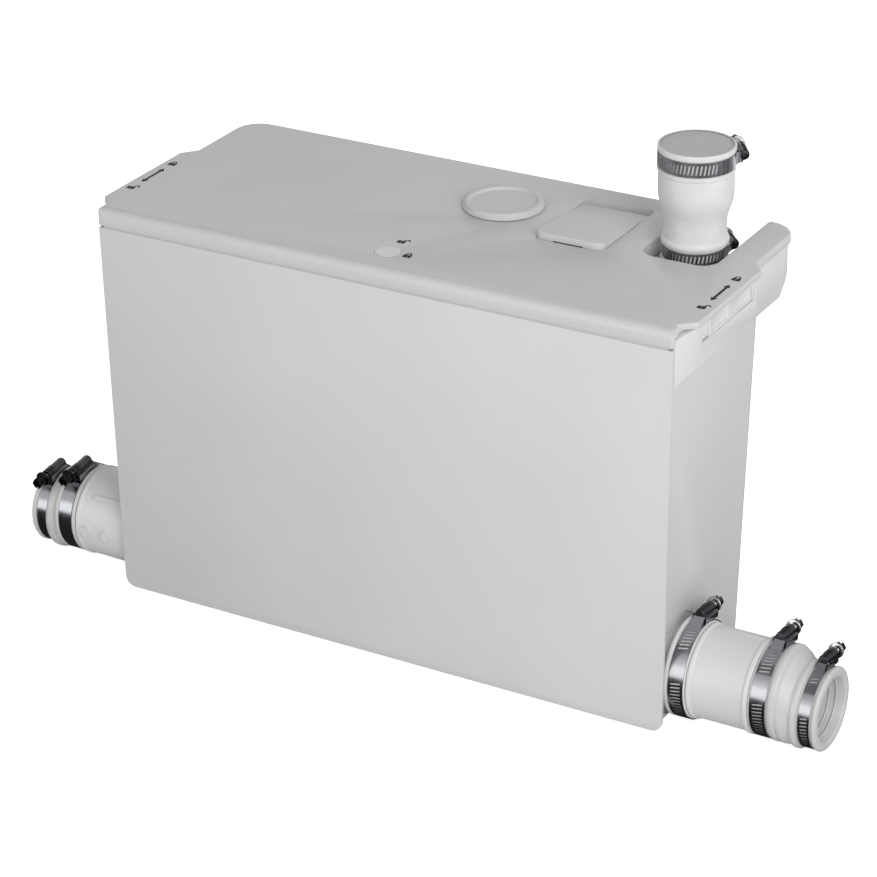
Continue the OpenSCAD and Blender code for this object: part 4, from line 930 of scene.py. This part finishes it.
def makeMarks(v):
    thickness = v["rise"] + v["sunk"]
    z = v["top"] + (v["rise"] - v["sunk"]) / 2
    openLock = flatShape(padlock(True), thickness)
    closedLock = flatShape(padlock(False), thickness)
    arrow = flatShape(doubleArrow(*v["arrow"]), thickness)
    larger = Matrix.Diagonal((v["padlockScale"], v["padlockScale"], 1, 1))
    work = bmesh.new()
    for rail in (-v["railX"], v["railX"]):
        for shape, spot, size in ((openLock, "openRail", larger), (arrow, "arrowRail", Matrix()),
                                  (closedLock, "closedRail", larger)):
            joinInto(work, shape, at(rail + v[spot][0], v[spot][1], z) @ size)
    joinInto(work, openLock, at(*v["openLock"], z) @ larger)
    joinInto(work, closedLock, at(*v["closedLock"], z) @ larger)
    piece = newPiece("lidMarks", work, [extraFinishes["mark"]])
    declare(piece, "lid")


makeMarks(markSizes)

# Floor and light
print("stage")


def flatSheet(name, corners, place, lean=0):
    (x0, y0), (x1, y1) = corners
    mesh = bpy.data.meshes.new(name)
    mesh.from_pydata([(x0, y0, 0), (x1, y0, 0), (x1, y1, 0), (x0, y1, 0)], [], [(0, 1, 2, 3)])
    sheet = addObject(name, mesh)
    sheet.location = place
    sheet.rotation_euler = (math.radians(lean), 0, 0)
    material = bpy.data.materials.new(name)
    material.use_nodes = True
    material.node_tree.nodes.clear()
    mesh.materials.append(material)
    return sheet, material.node_tree


def backdropRays(tree):  # 1 for the rays to which floor and world show a clean white
    rays = addNode(tree, "ShaderNodeLightPath")
    seen = calc(tree, "MAXIMUM", rays.outputs["Is Camera Ray"], rays.outputs["Is Glossy Ray"])
    return calc(tree, "MAXIMUM", seen, rays.outputs["Is Transmission Ray"])


stageValues = {
    "floorReach": 6,    # m to each side
    "floorDrop": 0.5,   # mm below the feet
    "floorLift": 0.8,   # white added to the floor where camera and metal see it
    "worldSoft": 0.55,  # brightness of the world where it lights the unit
}


def makeFloor(v):
    reach = v["floorReach"]
    corners = ((-reach, -reach), (reach, reach))
    _, tree = flatSheet("paleFloor", corners, (0, 0, -v["floorDrop"] * mm))
    diffuse = addNode(tree, "ShaderNodeBsdfDiffuse", {}, {"Color": srgb("#ffffff")})
    strength = calc(tree, "MULTIPLY", backdropRays(tree), v["floorLift"])
    lift = addNode(tree, "ShaderNodeEmission", {}, {
        "Color": srgb("#ffffff"), "Strength": strength})
    both = addNode(tree, "ShaderNodeAddShader", {}, {0: diffuse.outputs[0], 1: lift.outputs[0]})
    addNode(tree, "ShaderNodeOutputMaterial", {}, {"Surface": both.outputs[0]})


def makeWorld(v):
    world = bpy.data.worlds.new("studio")
    bpy.context.scene.world = world
    world.use_nodes = True
    tree = world.node_tree
    tree.nodes.clear()
    soft = addNode(tree, "ShaderNodeBackground", {}, {
        "Color": srgb("#ffffff"), "Strength": v["worldSoft"]})
    white = addNode(tree, "ShaderNodeBackground", {}, {"Color": srgb("#ffffff"), "Strength": 1.0})
    mixed = addNode(tree, "ShaderNodeMixShader", {}, {
        0: backdropRays(tree), 1: soft.outputs[0], 2: white.outputs[0]})
    addNode(tree, "ShaderNodeOutputWorld", {}, {"Surface": mixed.outputs[0]})


# Cards that only reflections see, for the dark, grey and bright bands in polished metal
cards = {  # name: corners in m, place of their origin in m, lean in degrees, brightness
    "darkCardLow": (((-0.9, -0.62), (0.8, 0.3)), (0, 0, 0.0008), 0, 0.03),
    "greyCardLow": (((-1.3, -1.5), (1.5, 1.0)), (0, 0, 0.0003), 0, 0.2),
    "greyCardHigh": (((-3.0, -0.95), (1.0, 2.0)), (0, 0, 1.5), 0, 0.28),
    "darkEdgeHigh": (((-3.0, -1.07), (1.0, -0.95)), (0, 0, 1.5), 0, 0.02),
    "brightCardFront": (((-1.5, 0.0), (1.5, 0.9)), (-1.1, -1.9, 0.02), 90, 2.4),
}


def makeCards():
    for name, (corners, place, lean, level) in cards.items():
        card, tree = flatSheet(name, corners, place, lean)
        glow = addNode(tree, "ShaderNodeEmission", {}, {
            "Color": srgb("#ffffff"), "Strength": level})
        addNode(tree, "ShaderNodeOutputMaterial", {}, {"Surface": glow.outputs[0]})
        card.visible_camera = card.visible_diffuse = card.visible_shadow = False
        card.visible_transmission = card.visible_volume_scatter = False


lamps = {  # name: place in m, size in m, power in W
    "keyRight": ((2.2, -1.6, 1.6), 1.6, 43),
    "fillFront": ((-0.8, -3.0, 1.2), 2.0, 6),
}
lampAim = (0.05, -0.05, 0.2)  # m


def makeLamps():
    for name, (place, size, power) in lamps.items():
        data = bpy.data.lights.new(name, "AREA")
        data.shape, data.size, data.energy = "SQUARE", size, power
        lamp = addObject(name, data)
        aim = Vector(lampAim) - Vector(place)
        lamp.rotation_euler = aim.to_track_quat("-Z", "Y").to_euler()
        lamp.location = place


makeFloor(stageValues)
makeWorld(stageValues)
makeCards()
makeLamps()
bpy.context.scene.view_settings.view_transform = "Standard"

print("finish")
